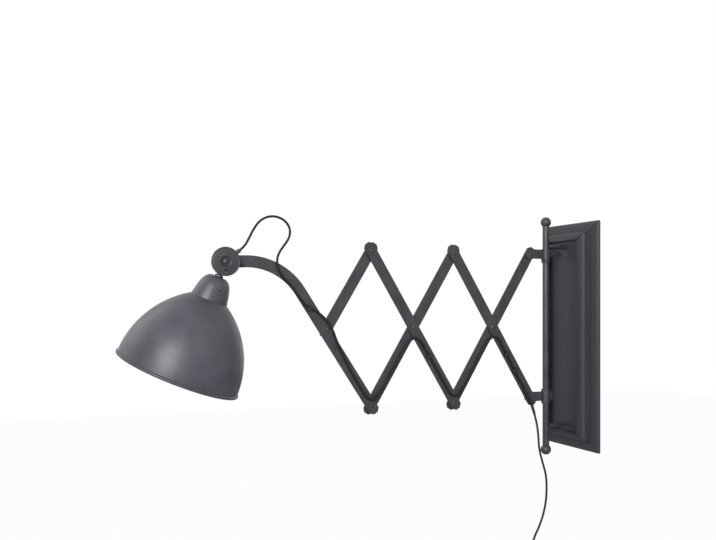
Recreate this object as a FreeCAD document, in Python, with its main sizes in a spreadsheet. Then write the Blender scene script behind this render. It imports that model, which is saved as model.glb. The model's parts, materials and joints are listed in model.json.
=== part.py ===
import FreeCAD, Part
import math
import os
import re
import Sketcher
from FreeCAD import Placement, Rotation, Vector

# An accordion wall lamp. A framed wall plate carries an upright rod on two
# standoffs. The scissor of flat strips hangs from a bracket at the rod's top
# and from a slider lower down. Its outer end is a curved lamp arm with a
# friction knuckle, a bell shade and the supply cable along the strips.
# +Z is up, the wall is the plane Y = 0 and the lamp reaches out along -Y.
# The origin is the centre of the plate on the wall. Sizes are millimetres.

SIZES = {
    # wall plate
    "plateWidth": 160, "plateHeight": 440, "mouldWidth": 35, "mouldRise": 29,
    "mouldEdge": 3, "bevelRun": 20, "bevelRise": 12, "stepRise": 20, "stepRun": 1,
    "rebate": 6, "mitreGap": 0.2, "panelFront": 22, "panelThick": 4,
    "backThick": 2, "seatGap": 0.1, "keyholeSpacing": 300, "keyholeHead": 10,
    "keyholeSlot": 5, "keyholeRise": 9,
    # rod, balls, standoffs and the parts on the rod
    "rodDiameter": 12.7, "rodWall": 2, "rodReach": 66, "rodLength": 425,
    "ballDiameter": 20, "spigotLength": 12, "standoffInset": 47,
    "standoffDiameter": 8, "studDiameter": 6, "studLength": 12, "nutThick": 5,
    "collarDiameter": 18, "collarHeight": 6, "sleeveWall": 2.6, "sleevePlay": 0.1,
    "bracketHeight": 20, "sliderHeight": 27, "strapHeight": 18, "strapDrop": 2,
    "strapEnd": 9.5, "strapClip": 5, "bossDiameter": 12, "bossReach": 16,
    "wingHeight": 12.5, "wingLength": 17, "wingThick": 2.6, "earReach": 14.5,
    "earThick": 5.2, "earHeight": 18, "screwHead": 6, "screwDiameter": 4,
    # scissor
    "pivotReach": 104, "topPivotHeight": 156, "barPivots": 320, "unitSpacing": 166,
    "barWidth": 20, "barThick": 3, "barGap": 0.8, "barEnd": 16, "barClip": 6,
    "pinDiameter": 5, "pinPlay": 0.05, "pinHead": 7, "pinHeadHeight": 1.8,
    "boltHead": 10, "boltHeadHeight": 2.6, "washerDiameter": 13,
    # lamp arm
    "armLean": 33.3, "armStraight": 240.8, "armBendRadius": 110, "armBendTurn": 59.2,
    "armTail": 35, "armEye": 30,
    # knuckle
    "hubDiameter": 44, "hubDepth": 10, "hubWall": 2, "frictionThick": 0.8,
    "frictionDiameter": 32, "coverDiameter": 48, "coverRecess": 18, "coverRise": 3.6,
    "coverRim": 1.9, "coverFloor": 1, "hubScrewHead": 10, "cableSleeveDiameter": 7,
    "cableSleeveLength": 11, "cableSleeveAngle": 38,
    # shade and lampholder
    "headTilt": 21.3, "headLean": 8.2, "headDrop": 198, "shadeRadius": 103,
    "bowlRadius": 156, "shadeWall": 1.0, "beadDiameter": 4.6, "bowlTopRadius": 30,
    "neckBaseRadius": 31, "neckHeight": 171, "neckShoulder": 149,
    "neckShoulderRadius": 27.2, "neckBendRadius": 22.5, "neckBendHeight": 162.5,
    "neckFlatRadius": 12.5, "stemDiameter": 10, "stemBore": 7, "stemNutWidth": 13,
    "stemNutThick": 3, "holderDiameter": 38, "holderLength": 48, "holderWall": 2.2,
    "socketBore": 26.8, "socketWall": 0.8, "socketDepth": 25, "insulatorThick": 6,
    "contactPost": 4, "contactButton": 8, "contactThick": 1.2,
    "grubDiameter": 2.6, "grubHeight": 152,
    # supply cable and plug
    "cableDiameter": 4, "clipLength": 7, "clipWall": 1.6,
    "reliefLength": 20, "reliefWall": 1.1, "reliefTip": 0.4, "coilRadius": 30,
    "coilPitch": 5.3, "coilLayer": 5.1, "tieWidth": 5, "tieThick": 1.2,
    "plugLength": 35, "plugWidth": 35, "plugThick": 14, "pinLength": 19,
    "plugPinDiameter": 4, "plugPinSpacing": 19, "bootLength": 16, "bootDiameter": 9,
}

doc = FreeCAD.newDocument("AccordionWallLamp")
sheet = doc.addObject("Spreadsheet::Sheet", "Sizes")
for row, (alias, number) in enumerate(SIZES.items(), start=1):
    sheet.set(f"A{row}", alias)
    sheet.set(f"B{row}", str(number))
    sheet.setAlias(f"B{row}", alias)
doc.recompute()

nodes = []
lines_made = []


def value(rule):
    """The number that a rule such as 'barWidth / 2' gives now."""
    return float(sheet.evalExpression(str(rule)))


def bound(rule):
    """The same rule with each size named as a cell of the sheet."""
    return re.sub(r"\b([a-z]\w*)\b(?!\()", r"Sizes.\1", str(rule))


def bind(item, **rules):
    for name, rule in rules.items():
        item.setExpression(name, bound(rule))
    return item


def node(item, label):
    """Marks an object as a finished piece of the lamp."""
    item.Label = label
    nodes.append(item)
    return item


def facing(direction):
    """The turn that takes +Z to the direction."""
    return Rotation(Vector(0, 0, 1), Vector(*direction))


def cylinder(name, radius, height, at=(0, 0, 0), along=(0, 0, 1)):
    item = doc.addObject("Part::Cylinder", name)
    bind(item, Radius=radius, Height=height)
    item.Placement = Placement(Vector(*at), facing(along))
    return item


def box(name, length, width, height, at=(0, 0, 0), turn=None):
    """A box centred on its own place."""
    item = doc.addObject("Part::Box", name)
    bind(item, Length=length, Width=width, Height=height)
    middle = Vector(value(length) / 2, value(width) / 2, value(height) / 2)
    turn = turn or Rotation()
    item.Placement = Placement(Vector(*at) - turn.multVec(middle), turn)
    return item


def ball_cap(name, radius, height, at, along):
    """A dome of the given base radius and height."""
    item = doc.addObject("Part::Sphere", name)
    sphere = f"(({radius})^2 + ({height})^2) / (2 * ({height}))"
    bind(item, Radius=sphere)
    item.setExpression("Angle1", bound(f"asin(({sphere} - ({height})) / ({sphere}))"))
    drop = value(sphere) - value(height)
    base = Vector(*at) - Vector(*along).normalize() * drop
    item.Placement = Placement(base, facing(along))
    return item


def cut(name, base, tools):
    tool = tools[0] if len(tools) == 1 else joined(name + "_tools", tools)
    item = doc.addObject("Part::Cut", name)
    item.Base = base
    item.Tool = tool
    return item


def joined(name, shapes):
    item = doc.addObject("Part::MultiFuse", name)
    item.Shapes = shapes
    item.Refine = True
    return item


def group(name, shapes):
    item = doc.addObject("Part::Compound", name)
    item.Links = shapes
    return item


def plane_of(body, role):
    return next(part for part in body.Origin.OriginFeatures if part.Role == role)


def outline(body, name, plane, corners, holes=()):
    """A closed sketch through corners, with round holes, all bound to the sheet."""
    sketch = body.newObject("Sketcher::SketchObject", name)
    sketch.AttachmentSupport = [(plane_of(body, plane), "")]
    sketch.MapMode = "FlatFace"
    places = [Vector(value(x), value(y), 0) for x, y in corners]
    for start, end in zip(places, places[1:] + places[:1]):
        sketch.addGeometry(Part.LineSegment(start, end))
    count = len(corners)
    for edge in range(count):
        sketch.addConstraint(Sketcher.Constraint("Coincident", edge, 2, (edge + 1) % count, 1))
    for edge, (x, y) in enumerate(corners):
        pin_point(sketch, edge, 1, x, y)
    for x, y, radius in holes:
        centre = Vector(value(x), value(y), 0)
        circle = sketch.addGeometry(Part.Circle(centre, Vector(0, 0, 1), value(radius)))
        pin_point(sketch, circle, 3, x, y)
        which = sketch.addConstraint(Sketcher.Constraint("Radius", circle, value(radius)))
        sketch.setExpression(f"Constraints[{which}]", bound(radius))
    return sketch


def pin_point(sketch, geometry, point, x, y):
    for kind, rule in (("DistanceX", x), ("DistanceY", y)):
        which = sketch.addConstraint(
            Sketcher.Constraint(kind, -1, 1, geometry, point, value(rule)))
        sketch.setExpression(f"Constraints[{which}]", bound(rule))


def plate(name, plane, corners, thickness, holes=(), middle=False):
    """A flat piece cut from sheet: a sketch and a pad."""
    body = doc.addObject("PartDesign::Body", name)
    pad = body.newObject("PartDesign::Pad", name + "_pad")
    sketch = outline(body, name + "_outline", plane, corners, holes)
    body.Tip = pad
    pad.Profile = sketch
    bind(pad, Length=thickness)
    if middle:
        pad.SideType = "Symmetric"
    return body


def turned(name, profile):
    """A turned piece: a closed profile of radius and height, round +Z."""
    body = doc.addObject("PartDesign::Body", name)
    sketch = outline(body, name + "_profile", "XZ_Plane", profile)
    spin = body.newObject("PartDesign::Revolution", name + "_turn")
    spin.Profile = sketch
    spin.ReferenceAxis = (sketch, ["V_Axis"])
    spin.Angle = 360
    body.Tip = spin
    return body


def spun(name, edges):
    """A shell turned round +Z from lines and arcs in the XZ plane."""
    item = doc.addObject("Part::Feature", name)
    face = Part.Face(Part.Wire(edges))
    item.Shape = face.revolve(Vector(0, 0, 0), Vector(0, 0, 1), 360)
    return item


def line(start, end):
    return Part.LineSegment(Vector(start[0], 0, start[1]), Vector(end[0], 0, end[1])).toShape()


def arc(start, middle, end):
    ends = [Vector(r, 0, z) for r, z in (start, middle, end)]
    return Part.Arc(*ends).toShape()


# ---------------------------------------------------------------- wall plate

def moulding(label, span, length, turn):
    """One mitred side of the frame. span is the outer height across the frame."""
    top = f"{span} / 2"
    inner = f"{top} - mouldWidth"
    body = doc.addObject("PartDesign::Body", label)
    profile = outline(body, label + "_profile", "YZ_Plane", [
        ("0", top),
        ("-mouldEdge", top),
        ("-bevelRise", f"{top} - bevelRun"),
        ("-stepRise", f"{top} - bevelRun - stepRun"),
        ("-mouldRise", inner),
        ("-panelFront", inner),
        ("-panelFront", f"{inner} + rebate"),
        ("0", f"{inner} + rebate"),
    ])
    pad = body.newObject("PartDesign::Pad", label + "_pad")
    pad.Profile = profile
    pad.SideType = "Symmetric"
    bind(pad, Length=length)
    reach = "mouldWidth + 2"
    for side, sign in (("a", ""), ("b", "-")):
        end = f"{sign}({length} / 2 - mitreGap / 2)"
        inward = f"{sign}({length} / 2 - mitreGap / 2 - ({reach}))"
        beyond = f"{sign}({length} / 2 + 2)"
        mitre = outline(body, label + "_mitre_" + side, "XZ_Plane", [
            (end, top),
            (inward, f"{top} - ({reach})"),
            (beyond, f"{top} - ({reach})"),
            (beyond, top),
        ])
        pocket = body.newObject("PartDesign::Pocket", label + "_cut_" + side)
        pocket.Profile = mitre
        pocket.Type = "ThroughAll"
        pocket.SideType = "Symmetric"
        body.Tip = pocket
    body.Placement = Placement(Vector(), Rotation(Vector(0, 1, 0), turn))
    node(body, label)


def wall_plate():
    moulding("frame_top", "plateHeight", "plateWidth", 0)
    moulding("frame_bottom", "plateHeight", "plateWidth", 180)
    moulding("frame_right", "plateWidth", "plateHeight", 90)
    moulding("frame_left", "plateWidth", "plateHeight", -90)

    wide = "plateWidth - 2 * (mouldWidth - rebate) - 2 * seatGap"
    tall = "plateHeight - 2 * (mouldWidth - rebate) - 2 * seatGap"
    panel_middle = -value("panelFront - panelThick / 2")
    panel = box("panel_board", wide, "panelThick", tall, (0, panel_middle, 0))
    holes = [
        cylinder(f"panel_hole_{end}", "studDiameter / 2 + pinPlay", "panelThick + 4",
                 (0, -value("panelFront + 2"), end * value("plateHeight / 2 - standoffInset")), (0, 1, 0))
        for end in (-1, 1)
    ]
    node(cut("panel_cut", panel, holes), "panel")

    back = box("back_sheet", wide, "backThick", tall, (0, -value("backThick / 2"), 0))
    keyholes = []
    for end in (-1, 1):
        low = end * value("keyholeSpacing / 2")
        at = (0, -value("backThick + 1"), low)
        keyholes.append(cylinder(f"keyhole_{end}", "keyholeHead / 2", "backThick + 2", at, (0, 1, 0)))
        up = low + value("keyholeRise")
        keyholes.append(cylinder(f"keyhole_end_{end}", "keyholeSlot / 2", "backThick + 2",
                                 (0, at[1], up), (0, 1, 0)))
        keyholes.append(box(f"keyhole_slot_{end}", "keyholeSlot", "backThick + 2", "keyholeRise",
                            (0, -value("backThick / 2"), low + value("keyholeRise / 2"))))
    node(cut("back_cut", back, keyholes), "back_plate")


# ------------------------------------------------------------- rod and fittings

ROD = Vector(0, -value("rodReach"), 0)


def on_rod(height):
    return (ROD.x, ROD.y, height)


def rod_and_standoffs():
    half = value("rodLength / 2")
    outer = cylinder("rod_outside", "rodDiameter / 2", "rodLength", on_rod(-half))
    bore = cylinder("rod_bore", "rodDiameter / 2 - rodWall", "rodLength", on_rod(-half))
    node(cut("rod_tube", outer, [bore]), "rod")

    balls = []
    cap_height = "ballDiameter / 2 + sqrt((ballDiameter / 2)^2 - (rodDiameter / 2)^2)"
    for end, label in ((1, "ball_top"), (-1, "ball_bottom")):
        up = (0, 0, end)
        ball = doc.addObject("Part::Sphere", label + "_ball")
        bind(ball, Radius="ballDiameter / 2")
        ball.setExpression("Angle1", bound("-acos(rodDiameter / ballDiameter)"))
        centre = end * (half + value(cap_height) - value("ballDiameter / 2"))
        ball.Placement = Placement(Vector(*on_rod(centre)), facing(up))
        spigot = cylinder(label + "_spigot", "rodDiameter / 2 - rodWall - seatGap",
                          "spigotLength + 2", on_rod(end * (half - value("spigotLength"))), up)
        balls.append(joined(label + "_body", [ball, spigot]))
    node(group("ball_pair", balls), "rod_balls")

    standoffs, nuts = [], []
    for end, label in ((1, "standoff_upper"), (-1, "standoff_lower")):
        height = end * value("plateHeight / 2 - standoffInset")
        shank = cylinder(label + "_shank", "standoffDiameter / 2", "rodReach - panelFront",
                         on_rod(height), (0, 1, 0))
        stud = cylinder(label + "_stud", "studDiameter / 2", "studLength + 1",
                        (0, -value("panelFront + 1"), height), (0, 1, 0))
        whole = joined(label + "_whole", [shank, stud])
        keep_out = cylinder(label + "_saddle", "rodDiameter / 2", "4 * standoffDiameter",
                            on_rod(height - value("2 * standoffDiameter")))
        standoffs.append(cut(label + "_body", whole, [keep_out]))
        nut = doc.addObject("Part::Prism", label + "_nut")
        nut.Polygon = 6
        bind(nut, Circumradius="studDiameter * 0.95", Height="nutThick")
        seat = Vector(0, -value("panelFront - panelThick"), height)
        nut.Placement = Placement(seat, facing((0, 1, 0)))
        hole = cylinder(label + "_nut_hole", "studDiameter / 2 + pinPlay", "nutThick + 2",
                        (0, seat.y - 1, height), (0, 1, 0))
        nuts.append(cut(label + "_nut_cut", nut, [hole]))
    node(group("standoff_pair", standoffs + nuts), "standoffs")


def ring(name, inner, outer, height, at, along=(0, 0, 1)):
    start = Vector(*at) - Vector(*along).normalize() * 1
    outside = cylinder(name + "_outside", outer, height, at, along)
    inside = cylinder(name + "_inside", inner, f"{height} + 2", tuple(start), along)
    return cut(name, outside, [inside])


BRACKET_MIDDLE = value("topPivotHeight + strapDrop")
BOTTOM_PIVOT = value("topPivotHeight") - math.sqrt(
    value("barPivots") ** 2 - value("unitSpacing") ** 2)
SLIDER_MIDDLE = BOTTOM_PIVOT + 1


def strap(name, side, middle, pivot):
    """The flat tongue from the sleeve to the pivot, in the given layer."""
    low = middle - value("strapHeight / 2")
    high = middle + value("strapHeight / 2")
    near = "-rodReach - rodDiameter / 2 - sleevePlay - 1"
    far = "-pivotReach - strapEnd"
    corners = [
        (near, low), (near, high), (f"{far} + strapClip", high),
        (far, high - value("strapClip")), (far, low + value("strapClip")),
        (f"{far} + strapClip", low),
    ]
    holes = [("-pivotReach", pivot, "pinDiameter / 2 + pinPlay")]
    tongue = plate(name, "YZ_Plane", corners, "barThick", holes)
    inner = "barGap / 2" if side > 0 else "-barGap / 2 - barThick"
    tongue.Placement = Placement(Vector(value(inner), 0, 0), Rotation())
    return tongue


def sleeve_parts(label, height, middle):
    """The outside of a sleeve on the rod and the hole that the rod fills."""
    bottom = middle - value(height) / 2
    outside = cylinder(label + "_sleeve", "rodDiameter / 2 + sleeveWall", height, on_rod(bottom))
    hole = cylinder(label + "_bore", "rodDiameter / 2 + sleevePlay", f"{height} + 4",
                    on_rod(bottom - 2))
    return outside, hole


def upper_bracket():
    outside, hole = sleeve_parts("bracket", "bracketHeight", BRACKET_MIDDLE)
    tongue = strap("bracket_tongue", 1, BRACKET_MIDDLE, value("topPivotHeight"))
    boss = cylinder("bracket_boss", "bossDiameter / 2", "bossReach", on_rod(BRACKET_MIDDLE), (0, 1, 0))
    thread = cylinder("bracket_thread", "pinDiameter / 2 + pinPlay", "bossReach + 4",
                      on_rod(BRACKET_MIDDLE), (0, 1, 0))
    across = Vector(1, 1, 0).normalize()
    head_height = BRACKET_MIDDLE + value("bracketHeight / 2 - screwHead / 2 - 1")
    screw_hole = cylinder("bracket_screw_hole", "screwDiameter / 2 + pinPlay", "rodDiameter",
                          on_rod(head_height), tuple(across))
    solid = joined("bracket_solid", [outside, tongue, boss])
    node(cut("bracket_cut", solid, [hole, thread, screw_hole]), "upper_bracket")

    start = ROD + across * value("rodDiameter / 2 + sleevePlay") + Vector(0, 0, head_height)
    seat = ROD + across * value("rodDiameter / 2 + sleeveWall") + Vector(0, 0, head_height)
    shank = cylinder("bracket_screw_shank", "screwDiameter / 2", "sleeveWall - sleevePlay + 0.5",
                     tuple(start), tuple(across))
    head = ball_cap("bracket_screw_dome", "screwHead / 2", "screwHead / 2.5", tuple(seat), tuple(across))
    pad = cylinder("bracket_screw_pad", "screwHead / 2", "1", tuple(seat), tuple(across))
    dome = joined("bracket_screw_solid", [shank, head, pad])
    keep_out = cylinder("bracket_screw_clear", "rodDiameter / 2 + sleeveWall", "screwHead * 3",
                        on_rod(head_height - value("screwHead * 1.5")))
    inner_keep = cylinder("bracket_shank_keep", "screwDiameter / 2", "rodDiameter",
                          on_rod(head_height), tuple(across))
    outside_only = cut("bracket_keep_out", keep_out, [inner_keep])
    side_screw = cut("bracket_screw_cut", dome, [outside_only])

    grip_start = value("rodDiameter / 2 + sleevePlay")
    boss_end = value("bossReach")
    along = (0, 1, 0)
    shaft = cylinder("thumb_shaft", "pinDiameter / 2", f"bossReach + 3 - {grip_start}",
                     (0, ROD.y + grip_start, BRACKET_MIDDLE), along)
    flange = cylinder("thumb_flange", "bossDiameter / 2 - 1", "2.5",
                      (0, ROD.y + boss_end, BRACKET_MIDDLE), along)
    wing_start = boss_end + 2
    wing = box("thumb_wing", "wingThick", "wingLength - wingHeight / 2", "wingHeight",
               (0, ROD.y + wing_start + value("wingLength - wingHeight / 2") / 2, BRACKET_MIDDLE))
    wing_end = cylinder("thumb_wing_end", "wingHeight / 2", "wingThick",
                        (-value("wingThick / 2"), ROD.y + wing_start + value("wingLength - wingHeight / 2"),
                         BRACKET_MIDDLE), (1, 0, 0))
    node(joined("thumb_solid", [shaft, flange, wing, wing_end]), "thumb_screw")

    collar_top = BRACKET_MIDDLE - value("bracketHeight / 2") - 0.2
    collar_low = collar_top - value("collarHeight")
    body = ring("collar_ring", "rodDiameter / 2", "collarDiameter / 2", "collarHeight",
                on_rod(collar_low))
    groove = ring("collar_groove", "collarDiameter / 2 - 0.8", "collarDiameter / 2 + 1",
                  "collarHeight / 5", on_rod(collar_low + value("collarHeight * 0.4")))
    node(cut("collar_cut", body, [groove]), "rod_collar")
    return side_screw


def lower_slider():
    outside, hole = sleeve_parts("slider", "sliderHeight", SLIDER_MIDDLE)
    tongue = strap("slider_tongue", -1, SLIDER_MIDDLE, BOTTOM_PIVOT)
    ear_middle = ROD.y + value("earReach") / 2
    ear = box("slider_ear", "earThick", "earReach", "earHeight", (0, ear_middle, SLIDER_MIDDLE))
    rivet_at = ROD.y + value("(earReach + rodDiameter / 2 + sleeveWall) / 2") + 0.4
    rivet_hole = cylinder("slider_rivet_hole", "screwDiameter / 2 + pinPlay", "earThick + 4",
                          (-value("earThick / 2 + 2"), rivet_at, SLIDER_MIDDLE), (1, 0, 0))
    solid = joined("slider_solid", [outside, tongue, ear])
    node(cut("slider_cut", solid, [hole, rivet_hole]), "lower_slider")
    half = value("earThick / 2")
    shank = cylinder("slider_rivet_shank", "screwDiameter / 2", "earThick",
                     (-half, rivet_at, SLIDER_MIDDLE), (1, 0, 0))
    domes = [
        ball_cap(f"slider_rivet_dome_{side}", "screwDiameter / 2 + 1", "1.2",
                 (side * half, rivet_at, SLIDER_MIDDLE), (side, 0, 0))
        for side in (-1, 1)
    ]
    return joined("slider_rivet_solid", [shank] + domes)


# ------------------------------------------------------------------- scissor

HALF_ANGLE = math.degrees(math.asin(value("unitSpacing / barPivots")))
CENTRE_HEIGHT = (value("topPivotHeight") + BOTTOM_PIVOT) / 2


def top_pivot(unit):
    return Vector(0, -value("pivotReach") - (unit - 1) * value("unitSpacing"), value("topPivotHeight"))


def bottom_pivot(unit):
    return Vector(0, -value("pivotReach") - (unit - 1) * value("unitSpacing"), BOTTOM_PIVOT)


def crossing(unit):
    """Unit 1 is nearest the wall."""
    return Vector(0, -value("pivotReach") - (unit - 0.5) * value("unitSpacing"), CENTRE_HEIGHT)


def layer_start(front):
    return value("barGap / 2") if front else -value("barGap / 2 + barThick")


def bar_corners(low, high):
    side, clip = "barWidth / 2", "barClip"
    return [
        (f"-{side} + {clip}", low), (f"{side} - {clip}", low), (side, f"{low} + {clip}"),
        (side, f"{high} - {clip}"), (f"{side} - {clip}", high), (f"-{side} + {clip}", high),
        (f"-{side}", f"{high} - {clip}"), (f"-{side}", f"{low} + {clip}"),
    ]


def bar(label, centre, front, half_bar=False):
    """A flat strip with clipped ends. Front strips fall to the right."""
    high = "barPivots / 2 + barEnd"
    low = "-barEnd" if half_bar else f"-({high})"
    hole = "pinDiameter / 2 + pinPlay"
    holes = [("0", "0", hole), ("0", "barPivots / 2", hole)]
    if not half_bar:
        holes.append(("0", "-barPivots / 2", hole))
    body = plate(label, "YZ_Plane", bar_corners(low, high), "barThick", holes)
    lean = HALF_ANGLE if front else -HALF_ANGLE
    place = centre + Vector(layer_start(front), 0, 0)
    body.Placement = Placement(place, Rotation(Vector(1, 0, 0), lean))
    node(body, label)


def scissor_bars():
    bar("bar_inner_rear", crossing(1), False)
    bar("bar_inner_front", crossing(1), True)
    bar("bar_outer_rear", crossing(2), False)
    bar("bar_outer_front", crossing(2), True)
    bar("half_bar", crossing(3), False, half_bar=True)


def pivot(label, place, head="pinHead", head_height="pinHeadHeight"):
    """A domed rivet through both layers and the washer between them."""
    reach = value("barGap / 2 + barThick") + 0.05
    shaft = cylinder(label + "_shaft", "pinDiameter / 2", "barGap + 2 * barThick + 0.1",
                     (-reach, place.y, place.z), (1, 0, 0))
    dome = ball_cap(label + "_dome", f"{head} / 2", head_height, (reach, place.y, place.z), (1, 0, 0))
    tail = ball_cap(label + "_tail", f"{head} / 2 - 0.3", "1.2", (-reach, place.y, place.z), (-1, 0, 0))
    rivet = joined(label + "_rivet", [shaft, dome, tail])
    half_gap = value("barGap / 2") - 0.05
    washer = ring(label + "_washer", "pinDiameter / 2 + pinPlay", "washerDiameter / 2",
                  "barGap - 0.1", (-half_gap, place.y, place.z), (1, 0, 0))
    return [rivet, washer]


def pivots(side_screw, slider_rivet):
    """Each set of rivets belongs to the strip or fitting that it turns with."""
    sets = {
        "bracket_pins": pivot("pin_top_1", top_pivot(1)) + [side_screw],
        "slider_pins": pivot("pin_bottom_1", bottom_pivot(1)) + [slider_rivet],
        "inner_rear_pins": pivot("bolt_cross_1", crossing(1), "boltHead", "boltHeadHeight")
        + pivot("pin_bottom_2", bottom_pivot(2)),
        "outer_front_pin": pivot("pin_cross_2", crossing(2)),
        "outer_rear_pins": pivot("pin_top_2", top_pivot(2)) + pivot("pin_bottom_3", bottom_pivot(3)),
        "half_bar_pin": pivot("pin_top_3", top_pivot(3)),
        "arm_pin": pivot("pin_cross_3", crossing(3)),
    }
    for label, solids in sets.items():
        node(group(label + "_set", solids), label)


# ------------------------------------------------------------------ lamp arm

ARM_START = bottom_pivot(3)


def arm_direction(turn=0.0):
    """Along the strip, outwards, after the given part of the bend."""
    angle = math.radians(value("armLean") + turn)
    return Vector(0, -math.sin(angle), math.cos(angle))


def arm_left(turn=0.0):
    """Square to the strip, towards the inside of its bend."""
    angle = math.radians(value("armLean") + turn)
    return Vector(0, -math.cos(angle), -math.sin(angle))


BEND_START = ARM_START + arm_direction() * value("armStraight")
BEND_CENTRE = BEND_START + arm_left() * value("armBendRadius")
BEND_END = BEND_CENTRE - arm_left(value("armBendTurn")) * value("armBendRadius")
KNUCKLE = BEND_END + arm_direction(value("armBendTurn")) * value("armTail")


def lamp_arm():
    front = value("barGap / 2")
    low, high = "-barEnd", "armStraight + 0.01"
    side, clip = "barWidth / 2", "barClip"
    corners = [
        (f"-{side} + {clip}", low), (f"{side} - {clip}", low), (side, f"{low} + {clip}"),
        (side, high), (f"-{side}", high), (f"-{side}", f"{low} + {clip}"),
    ]
    straight = plate("arm_straight", "YZ_Plane", corners, "barThick")
    straight.Placement = Placement(ARM_START + Vector(front, 0, 0),
                                   Rotation(Vector(1, 0, 0), value("armLean")))
    wide, narrow = "armBendRadius + barWidth / 2", "armBendRadius - barWidth / 2"
    bend = doc.addObject("Part::Cylinder", "arm_bend_disc")
    bind(bend, Radius=wide, Height="barThick", Angle="armBendTurn")
    across = Rotation(Vector(0, 1, 0), Vector(0, 0, 1), Vector(1, 0, 0), "ZXY")
    spin = Rotation(Vector(1, 0, 0), value("armLean"))
    bend.Placement = Placement(BEND_CENTRE + Vector(front, 0, 0), spin.multiply(across))
    inside = cylinder("arm_bend_inside", narrow, "barThick + 2",
                      tuple(BEND_CENTRE + Vector(front - 1, 0, 0)), (1, 0, 0))
    curve = cut("arm_bend", bend, [inside])
    last = value("armBendTurn")
    middle = (BEND_END + KNUCKLE) / 2 + Vector(value("barGap / 2 + barThick / 2"), 0, 0)
    tail = box("arm_tail", "barThick", "barWidth", "armTail + 0.02", tuple(middle),
               Rotation(Vector(1, 0, 0), value("armLean") + last))
    eye = cylinder("arm_eye", "armEye / 2", "barThick", tuple(KNUCKLE + Vector(front, 0, 0)), (1, 0, 0))
    holes = [
        cylinder(f"arm_hole_{index}", "pinDiameter / 2 + pinPlay", "barThick + 2",
                 (front - 1, place.y, place.z), (1, 0, 0))
        for index, place in enumerate((bottom_pivot(3), crossing(3), KNUCKLE))
    ]
    solid = joined("arm_solid", [straight, curve, tail, eye])
    node(cut("arm_cut", solid, holes), "lamp_arm")


# ------------------------------------------------------------------- knuckle

HUB_BACK = value("barGap / 2 + barThick + frictionThick") + 0.1
HUB_MIDDLE = Vector(HUB_BACK + value("hubDepth / 2"), KNUCKLE.y, KNUCKLE.z)


def head_up():
    """Along the shade's axis, from the rim to the knuckle."""
    tilt, lean = math.radians(value("headTilt")), math.radians(value("headLean"))
    return Vector(math.sin(lean), math.cos(lean) * math.sin(tilt), math.cos(lean) * math.cos(tilt))


RIM_CENTRE = HUB_MIDDLE - head_up() * value("headDrop")


def in_head(item):
    """Takes a piece made round +Z over the rim to its place on the head."""
    item.Placement = Placement(RIM_CENTRE, facing(tuple(head_up()))).multiply(item.Placement)
    return item


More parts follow.
